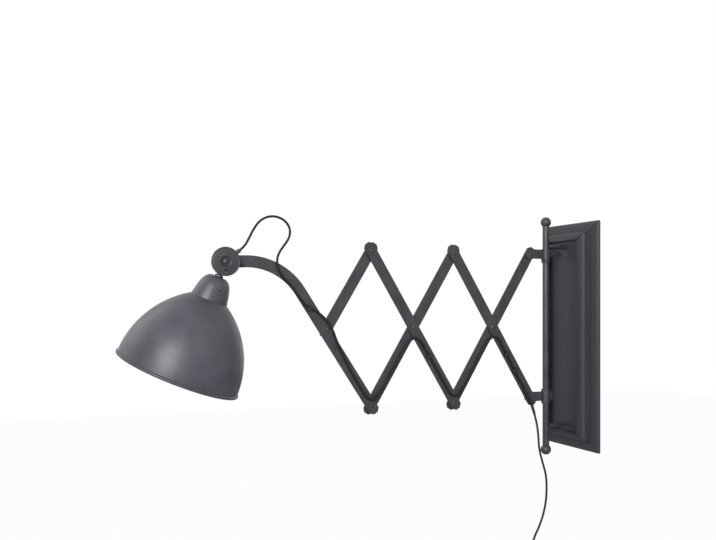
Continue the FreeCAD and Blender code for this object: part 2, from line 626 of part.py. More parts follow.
def knuckle():
    across = (1, 0, 0)
    back = (HUB_BACK, KNUCKLE.y, KNUCKLE.z)
    hole = "pinDiameter / 2"
    cup = turned("hub_cup", [
        (hole, "0"), ("hubDiameter / 2", "0"), ("hubDiameter / 2", "hubDepth"),
        ("hubDiameter / 2 - hubWall", "hubDepth"), ("hubDiameter / 2 - hubWall", "hubWall"),
        (hole, "hubWall"),
    ])
    cup.Placement = Placement(Vector(*back), facing(across))
    stem_hole = in_head(cylinder("hub_stem_hole", "stemDiameter / 2", "hubDiameter",
                                 (0, 0, value("headDrop - hubDiameter - hubWall * 3"))))
    angle = math.radians(value("cableSleeveAngle"))
    sleeve_way = (0, math.cos(angle), math.sin(angle))
    sleeve_hole = cylinder("hub_sleeve_hole", "cableSleeveDiameter / 2", "hubDiameter",
                           tuple(HUB_MIDDLE + Vector(*sleeve_way) * value("hubDiameter / 4")), sleeve_way)
    node(cut("hub_cut", cup, [stem_hole, sleeve_hole]), "knuckle_hub")

    lid = turned("cover_turned", [
        (hole, "0"), ("coverDiameter / 2", "0"), ("coverDiameter / 2", "coverRim"),
        ("coverDiameter / 2 - 2.5", "coverRim"), ("coverDiameter / 2 - 3.2", "coverRim + 0.7"),
        ("coverRecess / 2", "coverRise"), ("coverRecess / 2 - 1", "coverFloor"),
        (hole, "coverFloor"),
    ])
    front = HUB_BACK + value("hubDepth")
    lid.Placement = Placement(Vector(front, KNUCKLE.y, KNUCKLE.z), facing(across))
    peep = cylinder("cover_hole", "1.6", "8", (front - 2, KNUCKLE.y, KNUCKLE.z - value("coverDiameter * 0.3")),
                    across)
    node(cut("cover_cut", lid, [peep]), "knuckle_cover")

    gap_start = value("barGap / 2 + barThick") + 0.05
    node(ring("friction_ring", "pinDiameter / 2 + pinPlay", "frictionDiameter / 2", "frictionThick",
              (gap_start, KNUCKLE.y, KNUCKLE.z), across), "friction_washer")

    rear = value("barGap / 2") - 6.5
    seat = front + value("coverFloor")
    shaft = cylinder("hub_screw_shaft", "pinDiameter / 2", f"{seat - rear + 0.5}",
                     (rear, KNUCKLE.y, KNUCKLE.z), across)
    head = cylinder("hub_screw_disc", "hubScrewHead / 2", "1.2", (seat, KNUCKLE.y, KNUCKLE.z), across)
    dome = ball_cap("hub_screw_dome", "hubScrewHead / 2", "2.4", (seat + 1.2, KNUCKLE.y, KNUCKLE.z), across)
    slot = box("hub_screw_slot", "4", "1.4", "hubScrewHead + 2",
               (seat + 4.4, KNUCKLE.y, KNUCKLE.z), Rotation(Vector(1, 0, 0), 12))
    screw = joined("hub_screw_solid", [shaft, head, dome])
    node(cut("hub_screw_cut", screw, [slot]), "knuckle_screw")

    nut = doc.addObject("Part::Prism", "hub_nut_prism")
    nut.Polygon = 6
    bind(nut, Circumradius="pinDiameter * 0.95", Height="nutThick")
    nut_back = value("barGap / 2") - 0.05 - value("nutThick") - 1
    nut.Placement = Placement(Vector(nut_back, KNUCKLE.y, KNUCKLE.z), facing(across))
    hole_tool = cylinder("hub_nut_hole", hole, "nutThick + 2", (nut_back - 1, KNUCKLE.y, KNUCKLE.z), across)
    nut_piece = cut("hub_nut_cut", nut, [hole_tool])
    spring = ring("spring_ring", "pinDiameter / 2 + pinPlay", "pinDiameter", "1",
                   (nut_back + value("nutThick"), KNUCKLE.y, KNUCKLE.z), across)
    node(group("knuckle_nut_set", [nut_piece, spring]), "knuckle_nut")

    start = HUB_MIDDLE + Vector(*sleeve_way) * value("hubDiameter / 2 - hubWall")
    node(ring("cable_sleeve_ring", "cableDiameter / 2 + pinPlay", "cableSleeveDiameter / 2",
              "cableSleeveLength", tuple(start), sleeve_way), "cable_sleeve")
    return start, Vector(*sleeve_way)


# ----------------------------------------------------- shade and lampholder

def bowl_height(radius):
    """Height over the rim of the bowl's outside, at a radius."""
    inset = value("bowlRadius - shadeRadius")
    return math.sqrt(value("bowlRadius") ** 2 - (radius + inset) ** 2)


def shade():
    rim, wall = value("shadeRadius"), value("shadeWall")
    top = value("bowlTopRadius")
    centre = rim - value("bowlRadius")
    outer, inner = value("bowlRadius"), value("bowlRadius") - wall

    def on_arc(radius, angle):
        return centre + radius * math.cos(angle), radius * math.sin(angle)

    end = math.asin(bowl_height(top) / outer)
    edges = [
        arc(on_arc(outer, 0), on_arc(outer, end / 2), on_arc(outer, end)),
        line(on_arc(outer, end), on_arc(inner, end)),
        arc(on_arc(inner, end), on_arc(inner, end / 2), on_arc(inner, 0)),
        line(on_arc(inner, 0), on_arc(outer, 0)),
    ]
    bowl = spun("bowl_shell", edges)
    bead = doc.addObject("Part::Torus", "rim_bead")
    bind(bead, Radius1="shadeRadius - shadeWall / 2", Radius2="beadDiameter / 2")
    node(in_head(joined("bowl_solid", [bowl, bead])), "shade_bowl")

    base = bowl_height(top) + 0.05
    hole = value("stemDiameter / 2 + pinPlay")
    r0, r1 = value("neckBaseRadius"), value("neckShoulderRadius")
    r2, r3 = value("neckBendRadius"), value("neckFlatRadius")
    h1, h2, h3 = value("neckShoulder"), value("neckBendHeight"), value("neckHeight")
    slant = wall / math.sqrt(2)
    edges = [
        line((r0, base), (r1, h1)),
        arc((r1, h1), (r2, h2), (r3, h3)),
        line((r3, h3), (hole, h3)),
        line((hole, h3), (hole, h3 - wall)),
        line((hole, h3 - wall), (r3 - wall / 3, h3 - wall)),
        arc((r3 - wall / 3, h3 - wall), (r2 - slant, h2 - slant), (r1 - wall, h1)),
        line((r1 - wall, h1), (r0 - wall, base)),
        line((r0 - wall, base), (r0, base)),
    ]
    neck = spun("neck_shell", edges)
    turn = math.radians(11)
    way = (math.cos(turn), math.sin(turn), 0)
    grub_hole = cylinder("neck_grub_hole", "grubDiameter / 2 + pinPlay", "neckBaseRadius",
                         (way[0], way[1], value("grubHeight")), way)
    node(in_head(cut("neck_cut", neck, [grub_hole])), "shade_neck")

    screw_start = value("holderDiameter / 2") + 0.05
    grub = cylinder("grub_screw_body", "grubDiameter / 2", "6.2",
                    (way[0] * screw_start, way[1] * screw_start, value("grubHeight")), way)
    node(in_head(grub), "holder_grub_screw")


def lampholder():
    stem_top = value("headDrop - hubDiameter / 2") + value("hubWall")
    neck_top = value("neckHeight")
    inner_nut_top = neck_top - value("shadeWall") - 0.05
    holder_top = inner_nut_top - value("stemNutThick") - 0.05
    stem_low = holder_top - value("holderWall") - 4
    node(in_head(ring("stem_tube", "stemBore / 2", "stemDiameter / 2", f"{stem_top - stem_low}",
                      (0, 0, stem_low))), "stem")
    stem_nuts = []
    for label, low in (("outer_nut", neck_top + 0.05), ("inner_nut", inner_nut_top - value("stemNutThick"))):
        nut = doc.addObject("Part::Prism", label + "_prism")
        nut.Polygon = 6
        bind(nut, Circumradius="stemNutWidth / 2 / cos(30)", Height="stemNutThick")
        nut.Placement = Placement(Vector(0, 0, low), Rotation())
        hole = cylinder(label + "_hole", "stemDiameter / 2", "stemNutThick + 2", (0, 0, low - 1))
        stem_nuts.append(in_head(cut(label + "_cut", nut, [hole])))
    node(group("stem_nut_pair", stem_nuts), "stem_nuts")

    bottom = holder_top - value("holderLength")
    wall = "holderDiameter / 2 - holderWall"
    cup = turned("holder_cup", [
        ("stemDiameter / 2", f"{holder_top}"), ("holderDiameter / 2 - 5", f"{holder_top}"),
        ("holderDiameter / 2", f"{holder_top - 6}"), ("holderDiameter / 2", f"{bottom}"),
        (wall, f"{bottom}"), (wall, f"{holder_top} - holderWall - 4"),
        (f"{wall} - 2", f"{holder_top} - holderWall"),
        ("stemDiameter / 2", f"{holder_top} - holderWall"),
    ])
    node(in_head(cup), "lampholder_body")

    shell_bottom = bottom + 1
    node(in_head(ring("socket_tube", "socketBore / 2", "socketBore / 2 + socketWall", "socketDepth",
                      (0, 0, shell_bottom))), "socket_shell")
    block_low = shell_bottom + value("socketDepth")
    block = cylinder("insulator_disc", f"{wall} - seatGap", "insulatorThick", (0, 0, block_low))
    seat_hole = cylinder("insulator_hole", "contactPost / 2 + pinPlay", "insulatorThick + 2",
                         (0, 0, block_low - 1))
    recess = cylinder("insulator_recess", "contactButton / 2 + 1", "contactThick + 2",
                      (0, 0, block_low - 1))
    seat = in_head(cut("insulator_cut", block, [seat_hole, recess]))
    button_low = block_low + 1 - value("contactThick / 4")
    post = cylinder("contact_post", "contactPost / 2", "insulatorThick", (0, 0, button_low))
    button = cylinder("contact_button", "contactButton / 2", "contactThick", (0, 0, button_low))
    contact = in_head(joined("contact_solid", [post, button]))
    node(group("socket_base", [seat, contact]), "socket_contact")
    return shell_bottom


# -------------------------------------------------------------- supply cable

# The cable's route, from the knuckle down the strips to the free tail. Each
# point is X, Y, Z. The cable turns over the lower pivots and under the
# crossings, where the strips swing against each other.
LOOP = [
    (9.3, -660.5, 169.5), (9.1, -652.5, 185.5), (8.8, -642.5, 200.0),
    (8.3, -627.0, 209.0), (7.8, -609.5, 209.0), (7.2, -594.8, 201.5), (6.6, -587.0, 188.0),
    (6.2, -589.0, 173.8), (5.9, -598.0, 161.0), (5.7, -606.5, 149.5), (5.6, -611.0, 136.5),
]
ON_ARM = [
    (5.6, -608.0, 119.5), (5.6, -599.0, 107.0), (5.6, -583.5, 91.5), (5.6, -568.5, 70.5),
    (5.6, -558.5, 58.0), (5.6, -546.0, 52.5), (5.6, -533.0, 45.5), (5.6, -519.5, 32.0),
    (5.6, -510.0, 17.5), (5.6, -504.5, 2.5), (5.6, -497.0, -14.0), (5.6, -482.0, -45.0),
    (5.6, -466.0, -71.0), (5.6, -452.0, -94.0),
]
TURN_BOTTOM_3 = [(5.8, -443.5, -105.5), (5.7, -430.0, -107.5), (2.4, -418.5, -96.0)]
ON_OUTER_REAR = [(1.8, -408.0, -79.5), (1.7, -388.0, -46.0), (1.8, -371.5, -18.0)]
TURN_CROSS_2 = [(3.6, -363.0, -6.0), (5.9, -353.5, 1.5), (5.7, -342.0, -2.5)]
ON_OUTER_FRONT = [(5.6, -333.0, -15.5), (5.6, -313.0, -48.0), (5.6, -293.5, -80.0), (5.6, -284.0, -95.0)]
TURN_BOTTOM_2 = [(5.8, -276.5, -106.0), (5.7, -263.5, -108.0), (2.4, -251.5, -97.0)]
ON_INNER_REAR = [(1.9, -239.5, -80.0), (1.7, -222.5, -47.0), (1.8, -205.5, -18.0)]
TURN_CROSS_1 = [(3.6, -197.0, -6.0), (5.9, -187.5, 1.5), (5.7, -176.0, -2.5)]
ON_INNER_FRONT = [(5.6, -168.5, -16.0), (5.6, -149.5, -48.5), (5.6, -132.0, -79.5), (5.7, -121.5, -95.5)]
TURN_BOTTOM_1 = [(5.9, -116.2, -107.0), (6.655, -106.901, -120.114)]
RELIEF_TOP = (6.8, -103.2, -131.0)
TAIL = [
    (7.2, -93.0, -161.0), (8.8, -89.6, -187.0), (12.2, -90.4, -216.0), (14.3, -82.8, -244.0),
    (15.0, -75.6, -268.0), (15.0, -74.6, -298.0), (15.0, -78.0, -327.0), (15.0, -88.6, -358.0),
    (15.0, -102.5, -381.0), (15.4, -111.0, -403.5), (17.0, -107.5, -430.0),
]
COIL_START_ANGLE = 130
COIL_CENTRE = Vector(15, -110.5, -490)
COIL_LEAD = 22
COIL_EXIT = 24

# The route is drawn with the first top pivot here, and goes along with it.
ROUTE_PIVOT = Vector(0, -104, 156)
MOVED = Vector(0, -value("pivotReach"), value("topPivotHeight")) - ROUTE_PIVOT


def carried(points):
    return [tuple(Vector(*point) + MOVED) for point in points]


LOOP, ON_ARM, TURN_BOTTOM_3, ON_OUTER_REAR = map(carried, (LOOP, ON_ARM, TURN_BOTTOM_3, ON_OUTER_REAR))
TURN_CROSS_2, ON_OUTER_FRONT, TURN_BOTTOM_2 = map(carried, (TURN_CROSS_2, ON_OUTER_FRONT, TURN_BOTTOM_2))
ON_INNER_REAR, TURN_CROSS_1, ON_INNER_FRONT = map(carried, (ON_INNER_REAR, TURN_CROSS_1, ON_INNER_FRONT))
TURN_BOTTOM_1, TAIL = map(carried, (TURN_BOTTOM_1, TAIL))
RELIEF_TOP = carried([RELIEF_TOP])[0]
COIL_CENTRE = COIL_CENTRE + MOVED


def midpoint(one, other):
    return tuple((Vector(*one) + Vector(*other)) / 2)


def route_wire(points):
    """Straight runs joined by arcs, each as large as its two runs allow."""
    spots = [Vector(*point) for point in points]
    edges, radii = [], []
    start = spots[0]
    for before, here, after in zip(spots, spots[1:], spots[2:]):
        into, out = here - before, after - here
        turn = into.getAngle(out)
        cut_back = 0.45 * min(into.Length, out.Length)
        radius = cut_back / math.tan(turn / 2)
        a = here - into.normalize() * cut_back
        b = here + out.normalize() * cut_back
        inward = (b - here) + (a - here)
        middle = here + inward.normalize() * (radius / math.cos(turn / 2) - radius)
        edges.append(Part.LineSegment(start, a).toShape())
        edges.append(Part.Arc(a, middle, b).toShape())
        radii.append(radius)
        start = b
    edges.append(Part.LineSegment(start, spots[-1]).toShape())
    return Part.Wire(edges), radii


def swept(wire, radius):
    """A round solid along a wire."""
    first = wire.OrderedEdges[0]
    at = first.valueAt(first.FirstParameter)
    way = first.tangentAt(first.FirstParameter)
    ring_edge = Part.Circle(at, way, radius).toShape()
    return wire.makePipeShell([Part.Wire([ring_edge])], True, False)


def cable_piece(label, points):
    wire, radii = route_wire(points)
    radius = value("cableDiameter / 2")
    item = doc.addObject("Part::Feature", label + "_tube")
    item.Shape = swept(wire, radius)
    expected = math.pi * radius ** 2 * wire.Length
    print(f"{label}: length {wire.Length:.1f} mm, radii",
          " ".join(f"{r:.0f}" for r in radii),
          f"volume ratio {item.Shape.Volume / expected:.4f}")
    node(item, label)
    lines_made.append((label, wire.Length))


def coil_wire(start_side, first_way):
    """Half turns that spiral in and out through four layers, then run out."""
    pitch, layer = value("coilPitch"), value("coilLayer")
    radius = value("coilRadius")
    depth = COIL_CENTRE.x + 1.5 * layer
    steps = [(-pitch / 2, 0)] * 5
    for way_out in (1, -1, 1):
        steps += [(0, -layer)] + [(way_out * pitch / 2, 0)] * 4
    centre = Vector(0, COIL_CENTRE.y, COIL_CENTRE.z)
    side, way = start_side, first_way
    here = centre + side * radius + Vector(depth, 0, 0)
    edges = [Part.LineSegment(here - way * value("cableDiameter"), here).toShape()]
    lead_in = here - way * value("cableDiameter")
    for grow, climb in steps:
        radius += grow
        depth += climb
        side = side * -1
        there = centre + side * radius + Vector(depth, 0, 0)
        reach = (here - there).Length / 2
        middle = (here + there) / 2 + way * reach
        edges.append(Part.Arc(here, middle, there).toShape())
        here, way = there, way * -1
    turn = math.radians(180 - COIL_START_ANGLE)
    hub = centre + Vector(depth, 0, 0)

    def swung(angle):
        spin = Rotation(Vector(1, 0, 0), math.degrees(angle))
        return hub + spin.multVec(here - hub)

    last = swung(turn)
    edges.append(Part.Arc(here, swung(turn / 2), last).toShape())
    end = last - Vector(0, 0, 1) * COIL_EXIT
    edges.append(Part.LineSegment(last, end).toShape())
    return Part.Wire(edges), lead_in, end


def least_gap(wire, diameter):
    """The least distance between the surfaces of turns that lie side by side."""
    spots = [tuple(spot) for spot in wire.discretize(Distance=1.5)]
    apart = int(diameter * 4 / 1.5)
    least = 1e9
    for index, one in enumerate(spots):
        for other in spots[index + apart:]:
            least = min(least, math.dist(one, other))
    return least - diameter


def supply_cable(sleeve_start, sleeve_way):
    inside = tuple(sleeve_start + sleeve_way * 1)
    leaving = tuple(sleeve_start + sleeve_way * value("cableSleeveLength + 2.5 * cableDiameter"))
    stretches = [
        ("cable_head_loop", [inside, leaving] + LOOP), ("cable_on_arm", ON_ARM),
        ("cable_turn_bottom_3", TURN_BOTTOM_3), ("cable_on_outer_rear", ON_OUTER_REAR),
        ("cable_turn_cross_2", TURN_CROSS_2), ("cable_on_outer_front", ON_OUTER_FRONT),
        ("cable_turn_bottom_2", TURN_BOTTOM_2), ("cable_on_inner_rear", ON_INNER_REAR),
        ("cable_turn_cross_1", TURN_CROSS_1), ("cable_on_inner_front", ON_INNER_FRONT),
        ("cable_turn_bottom_1", TURN_BOTTOM_1), ("cable_tail", TAIL),
    ]
    spine = Rotation(Vector(1, 0, 0), COIL_START_ANGLE)
    side = spine.multVec(Vector(0, 1, 0))
    way = spine.multVec(Vector(0, 0, 1))
    wire, lead_in, end = coil_wire(side, way)
    corner = lead_in - way * (COIL_LEAD - value("cableDiameter"))
    for index, (label, points) in enumerate(stretches):
        route = list(points)
        if label == "cable_tail":
            route = [RELIEF_TOP] + route + [tuple(corner), tuple(lead_in)]
        elif label == "cable_turn_bottom_1":
            route = [midpoint(stretches[index - 1][1][-1], points[0])] + route + [RELIEF_TOP]
        elif index:
            route.insert(0, midpoint(stretches[index - 1][1][-1], points[0]))
        if index < len(stretches) - 2:
            route.append(midpoint(points[-1], stretches[index + 1][1][0]))
        cable_piece(label, route)

    radius = value("cableDiameter / 2")
    coil = doc.addObject("Part::Feature", "coil_tube")
    coil.Shape = swept(wire, radius)
    expected = math.pi * radius ** 2 * wire.Length
    print(f"cable_coil: length {wire.Length:.1f} mm, least gap {least_gap(wire, 2 * radius):.2f} mm, "
          f"volume ratio {coil.Shape.Volume / expected:.4f}")
    node(coil, "cable_coil")
    lines_made.append(("cable_coil", wire.Length))

    outer = value("coilRadius + cableDiameter / 2") + 0.4
    inner = value("coilRadius - 2.5 * coilPitch - cableDiameter / 2") - 0.4
    deep = value("3 * coilLayer + cableDiameter") + 0.8
    spin = Rotation(Vector(1, 0, 0), 300)
    at = COIL_CENTRE + spin.multVec(Vector(0, (outer + inner) / 2, 0))
    thick = value("tieThick")
    band = box("tie_outside", f"{deep + 2 * thick}", f"{outer - inner + 2 * thick}", "tieWidth",
               tuple(at), spin)
    window = box("tie_inside", f"{deep}", f"{outer - inner}", "tieWidth + 2", tuple(at), spin)
    node(cut("tie_cut", band, [window]), "cable_tie")
    strain_relief()
    return end


def strain_relief():
    """A tapered sleeve on the cable's first free run."""
    down = (Vector(*TAIL[0]) - Vector(*RELIEF_TOP)).normalize()
    length = "reliefLength"
    cone = doc.addObject("Part::Cone", "relief_cone")
    bind(cone, Radius1="cableDiameter / 2 + reliefWall", Radius2="cableDiameter / 2 + reliefTip",
         Height=length)
    cone.Placement = Placement(Vector(*RELIEF_TOP), facing(tuple(down)))
    bore = cylinder("relief_bore", "cableDiameter / 2 + pinPlay", f"{length} + 2",
                    tuple(Vector(*RELIEF_TOP) - down), tuple(down))
    node(cut("relief_cut", cone, [bore]), "strain_relief")


def cable_clip(label, at, way):
    """A small saddle that holds the cable down on a strip."""
    turn = Rotation(Vector(1, 0, 0), math.degrees(math.atan2(-way[0], way[1])))
    base = value("barGap / 2 + barThick") + 0.02
    top = at[0] + value("cableDiameter / 2 + clipWall")
    middle = ((base + top) / 2, at[1], at[2])
    block = box(label + "_block", f"{top - base}", "cableDiameter + 2 * clipWall + 3", "clipLength",
                middle, turn)
    along = turn.multVec(Vector(0, 0, 1))
    start = Vector(*at) - along * value("clipLength")
    groove = cylinder(label + "_groove", "cableDiameter / 2 + pinPlay", "2 * clipLength",
                      tuple(start), tuple(along))
    slot = box(label + "_slot", f"{at[0] - base + 1}", "cableDiameter + 2 * pinPlay", "2 * clipLength",
               ((base - 1 + at[0]) / 2, at[1], at[2]), turn)
    return cut(label + "_cut", block, [groove, slot])


def on_run(start, end, share):
    """A point on a run of the route and the run's direction in Y and Z."""
    a, b = Vector(*start), Vector(*end)
    way = (b - a).normalize()
    return tuple(a + (b - a) * share), (way.y, way.z)


def clips():
    node(cable_clip("clip_a", *on_run(ON_ARM[4], ON_ARM[5], 0.5)), "arm_clip")
    node(cable_clip("clip_b", *on_run(ON_OUTER_FRONT[0], ON_OUTER_FRONT[1], 0.5)), "outer_clip")
    pair = [
        cable_clip("clip_c", *on_run(ON_INNER_FRONT[0], ON_INNER_FRONT[1], 0.5)),
        cable_clip("clip_d", *on_run(ON_INNER_FRONT[1], ON_INNER_FRONT[2], 0.5)),
    ]
    node(group("clip_pair", pair), "inner_clips")


def plug(end):
    down = (0, 0, -1)
    boot = doc.addObject("Part::Cone", "plug_boot_cone")
    bind(boot, Radius1="cableDiameter / 2 + 0.8", Radius2="bootDiameter / 2", Height="bootLength")
    top = end + Vector(0, 0, value("bootLength")) * 0.5
    boot.Placement = Placement(top, facing(down))
    middle = top - Vector(0, 0, value("bootLength + plugLength / 2"))
    shell = box("plug_block", "plugWidth", "plugThick", "plugLength", tuple(middle))
    stop = cylinder("plug_stop", "cableDiameter / 2 + pinPlay", "bootLength / 2 + 1",
                    tuple(top + Vector(0, 0, 1)), down)
    rounded = doc.addObject("Part::Fillet", "plug_rounded")
    doc.recompute()
    rounded.Base = shell
    upright = [index + 1 for index, edge in enumerate(shell.Shape.Edges)
               if abs(edge.tangentAt(edge.FirstParameter).z) > 0.99]
    rounded.Edges = [(index, 5.0, 5.0) for index in upright]
    node(cut("plug_cut", joined("plug_solid", [rounded, boot]), [stop]), "plug_body")
    pins = []
    for side in (-1, 1):
        at = middle + Vector(side * value("plugPinSpacing") / 2, 0, -value("plugLength / 2"))
        shank = cylinder(f"plug_pin_shank_{side}", "plugPinDiameter / 2", "pinLength - 1", tuple(at), down)
        tip_at = at - Vector(0, 0, value("pinLength - 1"))
        tip = ball_cap(f"plug_pin_tip_{side}", "plugPinDiameter / 2", "1", tuple(tip_at), down)
        pins.append(joined(f"plug_pin_{side}", [shank, tip]))
    node(group("plug_pin_pair", pins), "plug_pins")


# ------------------------------------------------------------------- writing

def check_and_write():
    doc.recompute()
    for item in doc.Objects:
        bad = [word for word in item.State if word in ("Invalid", "Error")]
        if bad:
            raise RuntimeError(f"{item.Label} is {bad}")
    os.makedirs("parts", exist_ok=True)
    for item in nodes:
        shape = item.Shape
        if shape.isNull() or not shape.isValid():
            raise RuntimeError(f"{item.Label} has no valid shape")
        shape.exportStep(os.path.join("parts", item.Label + ".step"))
    print(len(nodes), "nodes")


wall_plate()
rod_and_standoffs()
bracket_screw = upper_bracket()
ear_rivet = lower_slider()
scissor_bars()
pivots(bracket_screw, ear_rivet)
lamp_arm()
sleeve_at, sleeve_axis = knuckle()
shade()
socket_mouth = lampholder()
cord_end = supply_cable(sleeve_at, sleeve_axis)
clips()
plug(cord_end)
check_and_write()
print("half angle", round(HALF_ANGLE, 3), "bottom pivot", round(BOTTOM_PIVOT, 3))
print("knuckle", tuple(round(c, 2) for c in KNUCKLE), "rim centre", tuple(round(c, 2) for c in RIM_CENTRE))
print("socket mouth", tuple(round(c, 3) for c in RIM_CENTRE + head_up() * socket_mouth),
      "axis down", tuple(round(-c, 5) for c in head_up()))
print("free cord", round(sum(length for label, length in lines_made
                             if label in ("cable_tail", "cable_coil"))), "mm")
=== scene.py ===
import bmesh
import bpy
import json
import math
from mathutils import Matrix, Vector


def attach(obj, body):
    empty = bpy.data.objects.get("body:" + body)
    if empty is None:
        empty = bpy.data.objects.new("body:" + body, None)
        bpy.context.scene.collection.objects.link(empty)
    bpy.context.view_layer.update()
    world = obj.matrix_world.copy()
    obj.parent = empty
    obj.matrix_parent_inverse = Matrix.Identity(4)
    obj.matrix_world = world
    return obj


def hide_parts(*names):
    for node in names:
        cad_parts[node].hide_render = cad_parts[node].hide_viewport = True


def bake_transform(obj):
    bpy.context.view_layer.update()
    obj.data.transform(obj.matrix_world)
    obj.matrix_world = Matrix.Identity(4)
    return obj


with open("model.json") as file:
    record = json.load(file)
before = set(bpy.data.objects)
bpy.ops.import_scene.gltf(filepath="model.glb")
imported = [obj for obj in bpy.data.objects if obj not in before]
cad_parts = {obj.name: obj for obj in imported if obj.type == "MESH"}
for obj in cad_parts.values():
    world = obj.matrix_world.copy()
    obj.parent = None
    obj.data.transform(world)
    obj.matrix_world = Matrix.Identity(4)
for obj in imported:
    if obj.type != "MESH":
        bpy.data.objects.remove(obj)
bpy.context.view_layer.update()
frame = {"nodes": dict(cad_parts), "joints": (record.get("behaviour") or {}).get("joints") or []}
nodes = frame["nodes"]
pivots = {joint["name"]: Vector(joint["pos_m"]) for joint in frame["joints"]}
mm = 0.001


def link(obj):
    bpy.context.scene.collection.objects.link(obj)
    return obj


# The camera stands on the lamp's +X side and looks level, a little towards the wall.
camera = {
    "place": (1.330, -1.013, 0.065),
    "turn": 22.55,
    "focalPixels": 820.0,
    "imageWide": 716,
    "imageTall": 540,
    "horizonRow": 302.4,
    "sensor": 36.0,
    "near": 0.01,
    "far": 60.0,
}


def makeCamera(c):
    lens = bpy.data.cameras.new("photoCamera")
    lens.sensor_width = c["sensor"]
    lens.lens = c["focalPixels"] * c["sensor"] / c["imageWide"]
    lens.shift_y = (c["horizonRow"] - c["imageTall"] / 2) / c["imageWide"]
    lens.clip_start = c["near"]
    lens.clip_end = c["far"]
    stand = link(bpy.data.objects.new("photoCamera", lens))
    turn = math.radians(c["turn"])
    look = Vector((-math.cos(turn), math.sin(turn), 0))
    stand.location = c["place"]
    stand.rotation_mode = "QUATERNION"
    stand.rotation_quaternion = look.to_track_quat("-Z", "Y")
    bpy.context.scene.camera = stand


makeCamera(camera)
print("camera made")


def blankMaterial(name):
    material = bpy.data.materials.new(name)
    material.use_nodes = True
    tree = material.node_tree
    return material, tree, tree.nodes["Principled BSDF"]


def spots(tree, size, detail, stretch=(1, 1, 1)):
    # a noise on the piece's own coordinates, with lumps of the given size
    place = tree.nodes.new("ShaderNodeTexCoord")
    mapping = tree.nodes.new("ShaderNodeMapping")
    mapping.inputs["Scale"].default_value = stretch
    noise = tree.nodes.new("ShaderNodeTexNoise")
    noise.inputs["Scale"].default_value = 1 / size
    noise.inputs["Detail"].default_value = detail
    tree.links.new(place.outputs["Object"], mapping.inputs["Vector"])
    tree.links.new(mapping.outputs["Vector"], noise.inputs["Vector"])
    return noise.outputs["Fac"]


def spread(tree, source, low, high, start=0.3, end=0.7):
    span = tree.nodes.new("ShaderNodeMapRange")
    span.inputs["From Min"].default_value = start
    span.inputs["From Max"].default_value = end
    span.inputs["To Min"].default_value = low
    span.inputs["To Max"].default_value = high
    tree.links.new(source, span.inputs["Value"])
    return span.outputs["Result"]


def mixed(tree, amount, one, other):
    mix = tree.nodes.new("ShaderNodeMix")
    mix.data_type = "RGBA"
    tree.links.new(amount, mix.inputs["Factor"])
    for socket, colour in (("A", one), ("B", other)):
        target = [s for s in mix.inputs if s.name == socket and s.type == "RGBA"][0]
        if isinstance(colour, tuple):
            target.default_value = (*colour, 1)
        else:
            tree.links.new(colour, target)
    return [s for s in mix.outputs if s.type == "RGBA"][0]


def bumped(tree, shader, height, strength, depth):
    bump = tree.nodes.new("ShaderNodeBump")
    bump.inputs["Strength"].default_value = strength
    bump.inputs["Distance"].default_value = depth
    tree.links.new(height, bump.inputs["Height"])
    tree.links.new(bump.outputs["Normal"], shader.inputs["Normal"])


# What all finishes share.
coating = {
    "cloudDetail": 4.0,
    "speckDetail": 5.0,
    "skinDetail": 2.0,
    "speckFade": 0.05,
    "roughCloud": 0.4,
    "roughSpread": 0.05,
    "skinDepth": 0.25,
}


def paint(name, p, c):
    # a coat with cloudy colour, rubbed specks and a fine skin
    material, tree, shader = blankMaterial(name)
    stretch = p.get("stretch", (1, 1, 1))
    cloud = spread(tree, spots(tree, p["cloud"], c["cloudDetail"], stretch), 0, 1)
    colour = mixed(tree, cloud, p["dark"], p["light"])
    speckled = spots(tree, p["speck"], c["speckDetail"])
    specks = spread(tree, speckled, 0, 1, p["speckFrom"], p["speckFrom"] + c["speckFade"])
    colour = mixed(tree, specks, colour, p["rubbed"])
    tree.links.new(colour, shader.inputs["Base Color"])
    worn = spots(tree, p["cloud"] * c["roughCloud"], c["cloudDetail"], stretch)
    rough = spread(tree, worn, p["rough"] - c["roughSpread"], p["rough"] + c["roughSpread"])
    tree.links.new(rough, shader.inputs["Roughness"])
    skin = spots(tree, p["skin"], c["skinDetail"], stretch)
    bumped(tree, shader, skin, p["bump"], p["skin"] * c["skinDepth"])
    shader.inputs["Specular IOR Level"].default_value = p.get("gloss", 0.5)
    shader.inputs["Metallic"].default_value = p.get("metal", 0.0)
    return material


